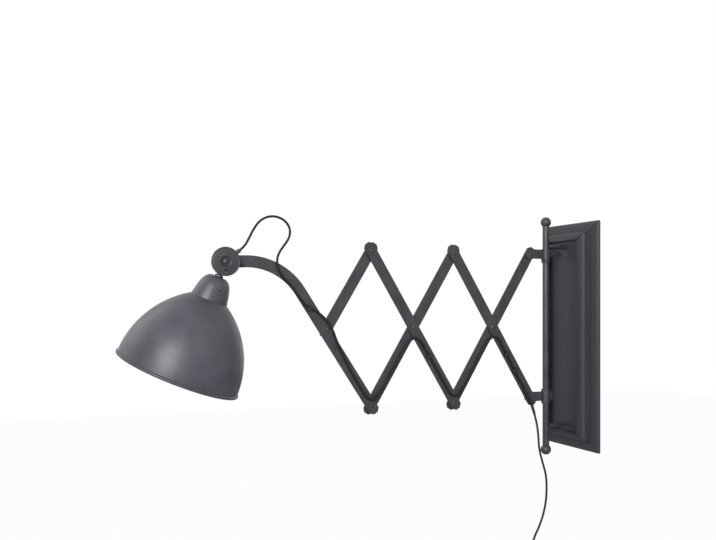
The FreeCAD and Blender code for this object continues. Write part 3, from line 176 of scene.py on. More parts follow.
# Finishes. Sizes are metres, colours are linear.
finishes = {
    "shade": {
        "dark": (0.031, 0.031, 0.041), "light": (0.060, 0.060, 0.077), "rubbed": (0.12, 0.12, 0.14),
        "cloud": 0.05, "speck": 0.004, "speckFrom": 0.73,
        "rough": 0.42, "skin": 0.0009, "bump": 0.2, "gloss": 0.6,
    },
    "steel": {
        "dark": (0.020, 0.0195, 0.025), "light": (0.038, 0.037, 0.046), "rubbed": (0.11, 0.11, 0.13),
        "cloud": 0.03, "speck": 0.003, "speckFrom": 0.69,
        "rough": 0.42, "skin": 0.0008, "bump": 0.16, "gloss": 0.5,
    },
    "plate": {
        "dark": (0.016, 0.014, 0.020), "light": (0.032, 0.029, 0.038), "rubbed": (0.075, 0.072, 0.088),
        "cloud": 0.05, "speck": 0.004, "speckFrom": 0.72,
        "rough": 0.48, "skin": 0.0016, "bump": 0.35, "gloss": 0.3, "stretch": (1, 1, 0.07),
    },
    "zinc": {
        "dark": (0.42, 0.43, 0.44), "light": (0.56, 0.56, 0.57), "rubbed": (0.3, 0.3, 0.31),
        "cloud": 0.01, "speck": 0.002, "speckFrom": 0.66,
        "rough": 0.38, "skin": 0.0006, "bump": 0.1, "metal": 1.0,
    },
    "brass": {
        "dark": (0.58, 0.42, 0.17), "light": (0.72, 0.54, 0.25), "rubbed": (0.4, 0.28, 0.12),
        "cloud": 0.01, "speck": 0.002, "speckFrom": 0.68,
        "rough": 0.30, "skin": 0.0006, "bump": 0.06, "metal": 1.0,
    },
    "cable": {
        "dark": (0.004, 0.004, 0.0045), "light": (0.007, 0.007, 0.008), "rubbed": (0.022, 0.022, 0.022),
        "cloud": 0.01, "speck": 0.0015, "speckFrom": 0.72,
        "rough": 0.55, "skin": 0.0005, "bump": 0.2, "gloss": 0.3,
    },
    "plastic": {
        "dark": (0.008, 0.008, 0.009), "light": (0.013, 0.013, 0.014), "rubbed": (0.025, 0.025, 0.025),
        "cloud": 0.01, "speck": 0.0015, "speckFrom": 0.72,
        "rough": 0.45, "skin": 0.0004, "bump": 0.25, "gloss": 0.45,
    },
    "porcelain": {
        "dark": (0.78, 0.76, 0.71), "light": (0.85, 0.83, 0.78), "rubbed": (0.6, 0.58, 0.54),
        "cloud": 0.01, "speck": 0.001, "speckFrom": 0.74,
        "rough": 0.22, "skin": 0.0015, "bump": 0.05, "gloss": 0.5,
    },
}
finishes["plateAcross"] = {**finishes["plate"], "stretch": (0.07, 1, 1)}  # the grain runs across
coats = {name: paint(name, values, coating) for name, values in finishes.items()}
print("finishes made")


# How shapes are finished. Angles are degrees.
shaping = {
    "crease": 42.0,  # a sharper edge stays hard
    "easeAbove": 35.0,  # a sharper edge of a CAD shape is eased
    "easeSteps": 2,
    "flatWithin": 1.0,
    "normalWeight": 90,
    "cornerSteps": 3,
    "cornerShare": 0.45,
    "merge": 1e-6,  # metres
    "onAxis": 1e-7,  # millimetres
}


def asPiece(name, bm, coat, body, replaced=(), evenNormals=False):
    bmesh.ops.recalc_face_normals(bm, faces=bm.faces)
    mesh = bpy.data.meshes.new(name)
    bm.to_mesh(mesh)
    bm.free()
    mesh.shade_smooth()
    if not evenNormals:
        mesh.set_sharp_from_angle(angle=math.radians(shaping["crease"]))
    mesh.materials.append(coats[coat])
    piece = link(bpy.data.objects.new(name, mesh))
    if evenNormals:
        piece.modifiers.new("evenNormals", "WEIGHTED_NORMAL").weight = shaping["normalWeight"]
    if body:
        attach(piece, body)
    if replaced:
        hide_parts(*replaced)
    return piece


def rounded(points, radius):
    # a closed profile with its corners rounded, apart from those on the axis
    result = []
    steps, share = shaping["cornerSteps"], shaping["cornerShare"]
    for before, here, after in zip(points[-1:] + points[:-1], points, points[1:] + points[:1]):
        corner, back, on = Vector(here), Vector(before), Vector(after)
        if here[0] < shaping["onAxis"]:
            result.append(tuple(corner))
            continue
        reach = min(radius, (back - corner).length * share, (on - corner).length * share)
        start = corner + (back - corner).normalized() * reach
        end = corner + (on - corner).normalized() * reach
        for step in range(steps + 1):
            t = step / steps
            result.append(tuple(start * (1 - t) ** 2 + corner * 2 * t * (1 - t) + end * t * t))
    return result


def standing(place, axis):
    return Matrix.Translation(Vector(place)) @ Vector(axis).to_track_quat("Z", "Y").to_matrix().to_4x4()


def addTurned(bm, profile, matrix, steps):
    # a closed profile of radius and height in millimetres, turned round its own axis
    rings = []
    angles = [2 * math.pi * step / steps for step in range(steps)]
    for radius, height in profile:
        if radius < shaping["onAxis"]:
            rings.append([bm.verts.new(matrix @ Vector((0, 0, height * mm)))])
            continue
        rings.append([
            bm.verts.new(matrix @ Vector((radius * mm * math.cos(a), radius * mm * math.sin(a), height * mm)))
            for a in angles
        ])
    for ring, after in zip(rings, rings[1:] + rings[:1]):
        if len(ring) == 1 and len(after) == 1:
            continue
        for step in range(steps):
            ahead = (step + 1) % steps
            corners = [ring[step % len(ring)], ring[ahead % len(ring)],
                       after[ahead % len(after)], after[step % len(after)]]
            bm.faces.new(list(dict.fromkeys(corners)))


def turned(name, profile, matrix, coat, body, replaced, steps, soft):
    bm = bmesh.new()
    addTurned(bm, rounded(profile, soft) if soft else profile, matrix, steps)
    return asPiece(name, bm, coat, body, replaced)


def addPlate(bm, outline, start, thick, edge):
    # a flat piece across X: its outline is Y and Z in metres
    near = [bm.verts.new((start, y, z)) for y, z in outline]
    far = [bm.verts.new((start + thick, y, z)) for y, z in outline]
    faces = [bm.faces.new(near), bm.faces.new(list(reversed(far)))]
    rims = set(faces[0].edges) | set(faces[1].edges)
    count = len(outline)
    for index in range(count):
        ahead = (index + 1) % count
        bm.faces.new([near[index], far[index], far[ahead], near[ahead]])
    bmesh.ops.bevel(bm, geom=list(rims), offset=edge, segments=shaping["easeSteps"], profile=0.5,
                    affect="EDGES")


def softened(name, node, coat, body, edge):
    # the CAD shape again, with its hard edges eased; the edge is in millimetres
    bm = bmesh.new()
    bm.from_mesh(nodes[node].data)
    bmesh.ops.remove_doubles(bm, verts=bm.verts, dist=shaping["merge"])
    flatWithin = math.radians(shaping["flatWithin"])
    bmesh.ops.dissolve_limit(bm, angle_limit=flatWithin, verts=bm.verts, edges=bm.edges)
    mesh = bpy.data.meshes.new(name)
    bm.to_mesh(mesh)
    bm.free()
    mesh.materials.clear()
    mesh.materials.append(coats[coat])
    mesh.shade_smooth()
    piece = link(bpy.data.objects.new(name, mesh))
    ease = piece.modifiers.new("ease", "BEVEL")
    ease.width = edge * mm
    ease.segments = shaping["easeSteps"]
    ease.limit_method = "ANGLE"
    ease.angle_limit = math.radians(shaping["easeAbove"])
    piece.modifiers.new("evenNormals", "WEIGHTED_NORMAL").weight = shaping["normalWeight"]
    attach(piece, body)
    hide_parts(node)
    return piece


# The wall plate: four mitred mouldings and a flat board. Sizes here and below are millimetres.
mouldings = {
    "halfWide": 80.0,
    "halfTall": 220.0,
    "mitre": 0.45,  # the gap at a joint is twice this
    "profile": [  # in from the edge, and out from the wall
        (0, 0), (0, 3.0), (4.0, 6.2), (10.0, 9.2), (16.0, 10.9), (19.6, 11.3), (20.6, 12.1),
        (20.9, 18.6), (21.9, 21.2), (25.0, 24.2), (30.0, 27.2), (35.0, 29.0), (35.0, 22.0),
        (29.0, 22.0), (29.0, 0),
    ],
    "edge": 0.5,
    "edgeAbove": 55.0,
    "jointEdge": 1.0,
}


def makeMoulding(name, node, m, upright, sign):
    bm = bmesh.new()
    ends = []
    for end in (-1, 1):
        ring = []
        for inward, depth in m["profile"]:
            across, along = m["halfWide"] - inward, m["halfTall"] - inward
            if upright:
                spot = (sign * across, -depth, end * (along - m["mitre"]))
            else:
                spot = (end * (across - m["mitre"]), -depth, sign * along)
            ring.append(bm.verts.new(Vector(spot) * mm))
        ends.append(ring)
    bm.faces.new(ends[0])
    bm.faces.new(ends[1])
    count = len(m["profile"])
    for index in range(count):
        ahead = (index + 1) % count
        bm.faces.new([ends[0][index], ends[0][ahead], ends[1][ahead], ends[1][index]])
    joint = [edge for face in bm.faces if len(face.verts) == count for edge in face.edges]
    bmesh.ops.bevel(bm, geom=joint, offset=m["jointEdge"] * mm, segments=1, affect="EDGES",
                    clamp_overlap=True)
    hard = math.radians(m["edgeAbove"])
    sharp = [e for e in bm.edges if len(e.link_faces) == 2 and e.calc_face_angle(0) > hard]
    bmesh.ops.bevel(bm, geom=sharp, offset=m["edge"] * mm, segments=shaping["easeSteps"], profile=0.5,
                    affect="EDGES", clamp_overlap=True)
    coat = "plate" if upright else "plateAcross"
    asPiece(name, bm, coat, "wall_mount", (node,), evenNormals=True)


makeMoulding("mouldingRight", "frame_right", mouldings, True, 1)
makeMoulding("mouldingLeft", "frame_left", mouldings, True, -1)
makeMoulding("mouldingTop", "frame_top", mouldings, False, 1)
makeMoulding("mouldingBottom", "frame_bottom", mouldings, False, -1)


def coatNode(node, coat):
    for slot in nodes[node].material_slots:
        slot.material = coats[coat]


coatNode("panel", "plate")
coatNode("back_plate", "zinc")
print("wall plate made")


# The rod, its balls and the ring under the upper bracket.
rod = {
    "reach": 66.0,
    "radius": 6.35,
    "bore": 4.35,
    "halfLength": 212.5,
    "ball": 10.0,
    "spigot": 12.0,
    "spigotPlay": 0.1,
    "collarRadius": 9.0,
    "collarTop": 147.8,
    "collarTall": 6.0,
    "grooveDeep": 1.1,
    "groove": (0.36, 0.43, 0.57, 0.64),
    "tubeEase": 0.3,
    "collarEase": 0.6,
    "steps": 48,
    "arcSteps": 24,
}
onRod = Vector((0, -rod["reach"] * mm, 0))


def makeRod(r):
    upright = standing(onRod, (0, 0, 1))
    tube = [(r["bore"], -r["halfLength"]), (r["radius"], -r["halfLength"]),
            (r["radius"], r["halfLength"]), (r["bore"], r["halfLength"])]
    turned("rodTube", tube, upright, "steel", "wall_mount", ("rod",), r["steps"], r["tubeEase"])
    lift = math.sqrt(r["ball"] ** 2 - r["radius"] ** 2)
    centre = r["halfLength"] + lift
    start = -math.asin(lift / r["ball"])
    spigot, spigotEnd = r["bore"] - r["spigotPlay"], r["halfLength"] - r["spigot"]
    for end in (-1, 1):
        ball = [(0, spigotEnd), (spigot, spigotEnd), (spigot, r["halfLength"])]
        for step in range(r["arcSteps"] + 1):
            angle = start + (math.pi / 2 - start) * step / r["arcSteps"]
            ball.append((r["ball"] * math.cos(angle), centre + r["ball"] * math.sin(angle)))
        ball[-1] = (0, ball[-1][1])
        turned("ballTop" if end > 0 else "ballBottom", ball, standing(onRod, (0, 0, end)), "steel",
               "wall_mount", ("rod_balls",) if end > 0 else (), r["steps"], 0)
    low, top, wide = r["collarTop"] - r["collarTall"], r["collarTop"], r["collarRadius"]
    waist = wide - r["grooveDeep"]
    heights = [low + r["collarTall"] * share for share in r["groove"]]
    ring = [(r["radius"], low), (wide, low)]
    ring += list(zip((wide, waist, waist, wide), heights))
    ring += [(wide, top), (r["radius"], top)]
    turned("rodRing", ring, upright, "steel", "wall_mount", ("rod_collar",), r["steps"], r["collarEase"])


makeRod(rod)
softened("standoffPair", "standoffs", "steel", "wall_mount", 0.3)
softened("upperBracket", "upper_bracket", "steel", "upper_bracket", 0.5)
softened("thumbScrew", "thumb_screw", "steel", "upper_bracket", 0.5)
softened("lowerSlider", "lower_slider", "steel", "lower_slider", 0.5)
print("rod and fittings made")


# The scissor's flat strips with clipped ends.
strips = {
    "long": 320.0,
    "wide": 20.0,
    "thick": 3.0,
    "gap": 0.8,
    "end": 16.0,
    "clip": 6.0,
    "edge": 0.35,
}
pivotPitch = (pivots["slider_pivot"] - pivots["inner_bottom"]).y / mm  # from one bottom pivot to the next
restAngle = math.asin(pivotPitch / strips["long"])


def layerStart(front):
    return (strips["gap"] / 2 if front else -strips["gap"] / 2 - strips["thick"]) * mm


def alongStrip(centre, lean, points):
    across = Vector((math.cos(lean), math.sin(lean)))
    along = Vector((-math.sin(lean), math.cos(lean)))
    middle = Vector((centre.y, centre.z))
    return [tuple(middle + (across * side + along * up) * mm) for side, up in points]


def makeStrip(name, node, body, centre, front, s, lowEnd=None):
    half, clip = s["wide"] / 2, s["clip"]
    high = s["long"] / 2 + s["end"]
    low = -high if lowEnd is None else lowEnd
    corners = [(clip - half, low), (half - clip, low), (half, low + clip), (half, high - clip),
               (half - clip, high), (clip - half, high), (-half, high - clip), (-half, low + clip)]
    bm = bmesh.new()
    outline = alongStrip(centre, restAngle if front else -restAngle, corners)
    addPlate(bm, outline, layerStart(front), s["thick"] * mm, s["edge"] * mm)
    asPiece(name, bm, "steel", body, (node,), evenNormals=True)


makeStrip("stripInnerRear", "bar_inner_rear", "inner_rear", pivots["inner_cross"], False, strips)
makeStrip("stripInnerFront", "bar_inner_front", "inner_front", pivots["inner_cross"], True, strips)
makeStrip("stripOuterRear", "bar_outer_rear", "outer_rear", pivots["outer_cross"], False, strips)
makeStrip("stripOuterFront", "bar_outer_front", "outer_front", pivots["outer_cross"], True, strips)
makeStrip("stripHalf", "half_bar", "half_bar", pivots["arm_cross"], False, strips, -strips["end"])

# The lamp arm: straight from its lower pivot, then bent over to the knuckle.
arm = {
    "lean": 33.3,
    "straight": 240.8,
    "bendRadius": 110.0,
    "bendTurn": 59.2,
    "tail": 35.0,
    "eye": 15.0,
    "arcSteps": 28,
    "eyeSteps": 28,
}


def armWay(turn):
    angle = math.radians(arm["lean"] + turn)
    return Vector((-math.sin(angle), math.cos(angle)))


def armOuter(turn):
    angle = math.radians(arm["lean"] + turn)
    return Vector((math.cos(angle), math.sin(angle)))


def makeArm(a, s):
    start = Vector((pivots["arm_bottom"].y, pivots["arm_bottom"].z)) / mm
    half, clip = s["wide"] / 2, s["clip"]
    bendStart = start + armWay(0) * a["straight"]
    bendCentre = bendStart - armOuter(0) * a["bendRadius"]
    bendEnd = bendCentre + armOuter(a["bendTurn"]) * a["bendRadius"]
    eye = bendEnd + armWay(a["bendTurn"]) * a["tail"]
    ahead, outer = armWay(a["bendTurn"]), armOuter(a["bendTurn"])
    turns = [a["bendTurn"] * step / a["arcSteps"] for step in range(a["arcSteps"] + 1)]

    def fromStart(side, up):
        return start + armOuter(0) * side + armWay(0) * up

    outline = [fromStart(clip - half, -s["end"]), fromStart(half - clip, -s["end"]),
               fromStart(half, clip - s["end"])]
    outline += [bendCentre + armOuter(turn) * (a["bendRadius"] + half) for turn in turns]
    eyeTurn = math.pi - math.asin(half / a["eye"])
    for step in range(a["eyeSteps"] + 1):
        angle = eyeTurn - 2 * eyeTurn * step / a["eyeSteps"]
        outline.append(eye + (ahead * math.cos(angle) + outer * math.sin(angle)) * a["eye"])
    outline += [bendCentre + armOuter(turn) * (a["bendRadius"] - half) for turn in reversed(turns)]
    outline.append(fromStart(-half, clip - s["end"]))
    bm = bmesh.new()
    addPlate(bm, [tuple(spot * mm) for spot in outline], layerStart(True), s["thick"] * mm, s["edge"] * mm)
    asPiece("lampArm", bm, "steel", "lamp_arm", ("lamp_arm",), evenNormals=True)
    return eye


armEye = makeArm(arm, strips)
print("strips made")


# Rivets, the bolt and their washers: one row of copies for each body.
rivets = {
    "shaft": 2.5,
    "head": 3.5,
    "headTall": 1.8,
    "headEdge": 0.15,
    "tailTall": 1.2,
    "tailLess": 0.3,
    "tailEdge": 0.1,
    "washer": 6.5,
    "play": 0.05,
    "boltHead": 5.0,
    "boltTall": 2.6,
    "copySize": 1.0,
    "steps": 40,
    "domeSteps": 8,
}


def domeProfile(radius, tall, base, sign):
    sphere = (radius ** 2 + tall ** 2) / (2 * tall)
    reach = math.asin(radius / sphere)
    steps = rivets["domeSteps"]
    points = []
    for step in range(steps + 1):
        angle = reach * (1 - step / steps)
        points.append((sphere * math.sin(angle), base + sign * (sphere * math.cos(angle) - sphere + tall)))
    points[-1] = (0, points[-1][1])
    return points


def rivetShape(name, r, head, tall):
    reach = strips["gap"] / 2 + strips["thick"] + r["play"]
    edge, tail = r["headEdge"], head - r["tailLess"]
    outline = domeProfile(tail, r["tailTall"], -reach - r["tailEdge"], -1)
    outline.reverse()
    outline += [(tail - r["tailEdge"], -reach), (r["shaft"], -reach), (r["shaft"], reach)]
    outline += [(head - edge, reach), (head, reach + edge)] + domeProfile(head, tall, reach + edge, 1)
    bm = bmesh.new()
    turn = Matrix.Rotation(math.radians(90), 4, "Y")
    addTurned(bm, outline, turn, r["steps"])
    half, hole = strips["gap"] / 2 - r["play"], r["shaft"] + r["play"]
    addTurned(bm, [(hole, -half), (r["washer"], -half), (r["washer"], half), (hole, half)], turn, r["steps"])
    bmesh.ops.recalc_face_normals(bm, faces=bm.faces)
    mesh = bpy.data.meshes.new(name)
    bm.to_mesh(mesh)
    bm.free()
    mesh.shade_smooth()
    return bpy.data.objects.new(name, mesh)


def copyTree():
    # puts the given shape on each point, at one size
    tree = bpy.data.node_groups.new("rivetRow", "GeometryNodeTree")
    face = tree.interface
    face.new_socket("Geometry", in_out="INPUT", socket_type="NodeSocketGeometry")
    face.new_socket("Shape", in_out="INPUT", socket_type="NodeSocketObject")
    face.new_socket("Size", in_out="INPUT", socket_type="NodeSocketFloat")
    face.new_socket("Coat", in_out="INPUT", socket_type="NodeSocketMaterial")
    face.new_socket("Geometry", in_out="OUTPUT", socket_type="NodeSocketGeometry")
    given = tree.nodes.new("NodeGroupInput")
    made = tree.nodes.new("NodeGroupOutput")
    shape = tree.nodes.new("GeometryNodeObjectInfo")
    copies = tree.nodes.new("GeometryNodeInstanceOnPoints")
    real = tree.nodes.new("GeometryNodeRealizeInstances")
    coat = tree.nodes.new("GeometryNodeSetMaterial")
    tree.links.new(given.outputs["Geometry"], copies.inputs["Points"])
    tree.links.new(given.outputs["Shape"], shape.inputs["Object"])
    tree.links.new(shape.outputs["Geometry"], copies.inputs["Instance"])
    tree.links.new(given.outputs["Size"], copies.inputs["Scale"])
    tree.links.new(copies.outputs["Instances"], real.inputs["Geometry"])
    tree.links.new(real.outputs["Geometry"], coat.inputs["Geometry"])
    tree.links.new(given.outputs["Coat"], coat.inputs["Material"])
    tree.links.new(coat.outputs["Geometry"], made.inputs["Geometry"])
    return tree


rivetTree = copyTree()
rivetMesh = rivetShape("rivetShape", rivets, rivets["head"], rivets["headTall"])
boltMesh = rivetShape("boltShape", rivets, rivets["boltHead"], rivets["boltTall"])


def evaluatedMesh(obj):
    bpy.context.view_layer.update()
    graph = bpy.context.evaluated_depsgraph_get()
    return bpy.data.meshes.new_from_object(obj.evaluated_get(graph))


def rivetRow(name, places, shape):
    points = bpy.data.meshes.new(name + "Points")
    points.from_pydata([tuple(place) for place in places], [], [])
    carrier = link(bpy.data.objects.new(name + "Points", points))
    row = carrier.modifiers.new("rivetRow", "NODES")
    row.node_group = rivetTree
    sockets = {item.name: item.identifier for item in rivetTree.interface.items_tree
               if item.in_out == "INPUT"}
    row[sockets["Shape"]] = shape
    row[sockets["Size"]] = rivets["copySize"]
    row[sockets["Coat"]] = coats["steel"]
    mesh = evaluatedMesh(carrier)
    bpy.data.objects.remove(carrier)
    mesh.materials.clear()
    mesh.materials.append(coats["steel"])
    mesh.shade_smooth()
    return link(bpy.data.objects.new(name, mesh))


def flat(place):
    return Vector((0, place.y, place.z))


topPivot = flat(pivots["scissor_extend"])
toNextTop = Vector((0, -pivotPitch * mm, 0))
rivetPlan = {
    "bracketRivet": ("upper_bracket", [topPivot], rivetMesh, ()),
    "sliderRivet": ("lower_slider", [flat(pivots["slider_pivot"])], rivetMesh, ()),
    "innerBottomRivet": ("inner_rear", [flat(pivots["inner_bottom"])], rivetMesh, ("inner_rear_pins",)),
    "innerBolt": ("inner_rear", [flat(pivots["inner_cross"])], boltMesh, ()),
    "outerCrossRivet": ("outer_front", [flat(pivots["outer_cross"])], rivetMesh, ("outer_front_pin",)),
    "outerRivets": ("outer_rear", [topPivot + toNextTop, flat(pivots["arm_bottom"])], rivetMesh,
                    ("outer_rear_pins",)),
    "halfStripRivet": ("half_bar", [topPivot + toNextTop * 2], rivetMesh, ("half_bar_pin",)),
    "armRivet": ("lamp_arm", [flat(pivots["arm_cross"])], rivetMesh, ("arm_pin",)),
}
for name, (body, places, shape, replaced) in rivetPlan.items():
    row = rivetRow(name, places, shape)
    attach(row, body)
    if replaced:
        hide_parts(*replaced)
print("rivets made")

# The bracket's side screw and the rivet through the slider's ears.
fittings = {
    "screwRadius": 3.0,
    "screwSide": 1.0,
    "screwDome": 1.9,
    "screwLip": 0.1,
    "screwNeck": 2.0,
    "screwSunk": 1.2,
    "screwHeight": 164.0,
    "sleeve": 8.95,
    "earRivet": 3.0,
    "earDome": 1.2,
    "earHalf": 2.6,
    "earAt": -54.2,
    "earHeight": -116.6,
    "steps": 32,
}


def makeFittings(f):
    across = Vector((1, 1, 0)).normalized()
    seat = onRod + across * f["sleeve"] * mm + Vector((0, 0, f["screwHeight"] * mm))
    screw = [(0, -f["screwSunk"]), (f["screwNeck"], -f["screwSunk"]), (f["screwNeck"], f["screwLip"]),
             (f["screwRadius"], f["screwLip"]), (f["screwRadius"], f["screwSide"])]
    screw += domeProfile(f["screwRadius"], f["screwDome"], f["screwSide"], 1)
    turned("bracketSideScrew", screw, standing(seat, across), "steel", "upper_bracket", ("bracket_pins",),
           f["steps"], 0)
    middle = Vector((0, f["earAt"], f["earHeight"])) * mm
    pin = domeProfile(f["earRivet"], f["earDome"], -f["earHalf"], -1)
    pin.reverse()
    pin += domeProfile(f["earRivet"], f["earDome"], f["earHalf"], 1)
    turned("earRivet", pin, standing(middle, (1, 0, 0)), "steel", "lower_slider", ("slider_pins",),
           f["steps"], 0)


makeFittings(fittings)

# The friction knuckle: a cup, a dished cover and the screw through both.
knuckle = {
    "back": 4.3,
    "shaft": 2.5,
    "cup": 22.0,
    "cupWall": 2.0,
    "cupEase": 0.7,
    "deep": 10.0,
    "cover": 24.0,
    "coverRim": [(0, 0), (0, 1.9), (1.3, 2.4), (2.6, 1.8), (3.4, 2.5)],  # in from the edge, and forward
    "recess": 9.0,
    "coverDish": [(3.0, 3.3), (0.6, 3.6), (-1.2, 2.2), (-2.4, 1.0)],  # out from the recess, and forward
    "coverEase": 0.5,
    "peepDrop": 14.4,
    "peepRadius": 1.7,
    "peepReach": (2.0, 6.0),
    "screw": 5.0,
    "screwSide": 1.2,
    "screwDome": 2.2,
    "screwPast": 6.1,
    "sleeve": 3.5,
    "sleeveBore": 2.05,
    "sleeveLip": 3.9,
    "sleeveLipFrom": (9.2, 9.6),
    "sleeveLong": 11.0,
    "sleeveEase": 0.4,
    "sleeveAngle": 38.0,
    "sleeveFrom": 20.0,
}
hub = Vector((0, armEye.x, armEye.y)) * mm
hubAxis = (1, 0, 0)
hubMiddle = hub + Vector(((knuckle["back"] + knuckle["deep"] / 2) * mm, 0, 0))


def drilled(piece, place, axis, radius, back, ahead):
    # a round hole, cut once and for all, from behind the place to ahead of it
    bm = bmesh.new()
    peg = [(0, -back), (radius, -back), (radius, ahead), (0, ahead)]
    addTurned(bm, peg, standing(place, axis), 24)
    bmesh.ops.recalc_face_normals(bm, faces=bm.faces)
    mesh = bpy.data.meshes.new("drill")
    bm.to_mesh(mesh)
    bm.free()
    drill = link(bpy.data.objects.new("drill", mesh))
    hole = piece.modifiers.new("hole", "BOOLEAN")
    hole.object = drill
    hole.operation = "DIFFERENCE"
    hole.solver = "EXACT"
    cutMesh = evaluatedMesh(piece)
    piece.modifiers.remove(hole)
    piece.data = cutMesh
    bpy.data.objects.remove(drill)


def makeKnuckle(k):
    place = hub + Vector((k["back"] * mm, 0, 0))
    cupInside = k["cup"] - k["cupWall"]
    cup = [(k["shaft"], 0), (k["cup"], 0), (k["cup"], k["deep"]), (cupInside, k["deep"]),
           (cupInside, k["cupWall"]), (k["shaft"], k["cupWall"])]
    turned("knuckleCup", cup, standing(place, hubAxis), "steel", "head", ("knuckle_hub",), 72, k["cupEase"])
    front = place + Vector((k["deep"] * mm, 0, 0))
    dishFloor = k["coverDish"][-1][1]
    cover = [(k["shaft"], 0)] + [(k["cover"] - inward, forward) for inward, forward in k["coverRim"]]
    cover += [(k["recess"] + outward, forward) for outward, forward in k["coverDish"]]
    cover.append((k["shaft"], dishFloor))
    lid = turned("knuckleCover", cover, standing(front, hubAxis), "steel", "head", ("knuckle_cover",), 96,
                 k["coverEase"])
    peep = front - Vector((0, 0, k["peepDrop"] * mm))
    drilled(lid, peep, hubAxis, k["peepRadius"], *k["peepReach"])
    seat = front + Vector((dishFloor * mm, 0, 0))
    tip = -k["screwPast"] - (seat.x - hub.x) / mm
    screw = [(0, tip), (k["shaft"], tip), (k["shaft"], 0), (k["screw"], 0), (k["screw"], k["screwSide"])]
    screw += domeProfile(k["screw"], k["screwDome"], k["screwSide"], 1)
    turned("knuckleScrew", screw, standing(seat, hubAxis), "steel", "head", ("knuckle_screw",), 40, 0)


def makeSleeve(k):
    turn = math.radians(k["sleeveAngle"])
    way = Vector((0, math.cos(turn), math.sin(turn)))
    lipStart, lipFull = k["sleeveLipFrom"]
    sleeve = [(k["sleeveBore"], 0), (k["sleeve"], 0), (k["sleeve"], lipStart), (k["sleeveLip"], lipFull),
              (k["sleeveLip"], k["sleeveLong"]), (k["sleeveBore"], k["sleeveLong"])]
    turned("cableSleeve", sleeve, standing(hubMiddle + way * k["sleeveFrom"] * mm, way), "steel", "head",
           ("cable_sleeve",), 32, k["sleeveEase"])


makeKnuckle(knuckle)
softened("knuckleNut", "knuckle_nut", "zinc", "head", 0.25)
coatNode("friction_washer", "zinc")
makeSleeve(knuckle)
print("knuckle made")

# The shade: a spun bowl with a rolled rim, and the neck over the lampholder. Profiles are
# radius and height over the rim.
shade = {
    "tilt": 21.3,
    "lean": 8.2,
    "drop": 198.0,
    "rim": 103.0,
    "sphere": 156.0,
    "wall": 1.0,
    "bead": 2.6,
    "beadOut": 0.3,
    "beadFrom": 150.0,
    "beadTurn": 285.0,
    "bowlFoot": 1.1,
    "bowlTop": 30.0,
    "stemHole": 5.05,
    "neckTopEdge": 0.6,
    "neckSink": 0.55,
    "neck": [(31.0, 130.4), (29.9, 136.0), (28.6, 143.0), (27.2, 149.0), (26.2, 153.0), (24.8, 157.6),
             (22.5, 162.5), (19.4, 166.8), (15.8, 169.7), (12.5, 171.0)],
    "grubTurn": 11.0,
    "grubHeight": 152.0,
    "grubHole": 1.45,
    "grubHoleFrom": 15.0,
    "grubHoleLong": 25.0,
    "grub": [(0, 19.1), (1.3, 19.1), (1.3, 25.2), (0.8, 25.2), (0.6, 24.4), (0, 24.4)],
    "bowlSteps": 40,
    "beadSteps": 18,
}
headLean, headTilt = math.radians(shade["lean"]), math.radians(shade["tilt"])
headUp = Vector((math.sin(headLean), math.cos(headLean) * math.sin(headTilt),
                 math.cos(headLean) * math.cos(headTilt)))
rimCentre = hubMiddle - headUp * shade["drop"] * mm
headTurn = Vector((0, 0, 1)).rotation_difference(headUp).to_matrix().to_4x4()
inHead = Matrix.Translation(rimCentre) @ headTurn


def makeBowl(s):
    inset, wall = s["rim"] - s["sphere"], s["wall"]
    outer, inner = s["sphere"], s["sphere"] - wall
    end = math.acos((s["bowlTop"] - inset) / outer)
    first = math.asin(s["bead"] * s["bowlFoot"] / outer)
    angles = [first + (end - first) * step / s["bowlSteps"] for step in range(s["bowlSteps"] + 1)]
    profile = [(inset + outer * math.cos(a), outer * math.sin(a)) for a in angles]
    profile += [(inset + inner * math.cos(a), inner * math.sin(a)) for a in reversed(angles)]
    centre = s["rim"] - wall / 2 + s["beadOut"]
    for step in range(1, s["beadSteps"] + 1):
        angle = math.radians(s["beadFrom"] + s["beadTurn"] * step / s["beadSteps"])
        profile.append((centre + s["bead"] * math.cos(angle), s["bead"] * math.sin(angle)))
    turned("shadeBowl", profile, inHead, "shade", "head", ("shade_bowl",), 160, 0)


def makeNeck(s):
    outside, wall = s["neck"], s["wall"]
    topRadius, topHeight = outside[-1]
    inside = [(s["stemHole"], topHeight), (s["stemHole"], topHeight - wall),
              (topRadius - s["neckTopEdge"], topHeight - wall)]
    inside += [(radius - wall, height - wall * s["neckSink"]) for radius, height in reversed(outside[1:-1])]
    inside.append((outside[0][0] - wall, outside[0][1]))
    collar = turned("shadeNeck", outside + inside, inHead, "shade", "head", ("shade_neck",), 120, 0)
    turn = math.radians(s["grubTurn"])
    way = headTurn @ Vector((math.cos(turn), math.sin(turn), 0))
    level = rimCentre + headUp * s["grubHeight"] * mm
    drilled(collar, level + way * s["grubHoleFrom"] * mm, way, s["grubHole"], 0, s["grubHoleLong"])
    turned("neckGrubScrew", s["grub"], standing(level, way), "steel", "head", ("holder_grub_screw",), 24, 0)


makeBowl(shade)
makeNeck(shade)

# The lampholder in the neck. Its threaded shell is open to the bulb.
holder = {
    "top": 166.7,
    "bottom": 118.7,
    "radius": 19.0,
    "wall": 2.2,
    "stemHole": 5.0,
    "shoulder": (5.0, 6.0),
    "shoulderInside": (2.0, 4.0),
    "ease": 0.6,
    "socket": 13.4,
    "socketWall": 0.8,
    "socketDeep": 25.0,
    "socketUp": 1.0,
    "threads": 7,
    "threadDeep": 0.35,
    "threadSteps": 8,
}


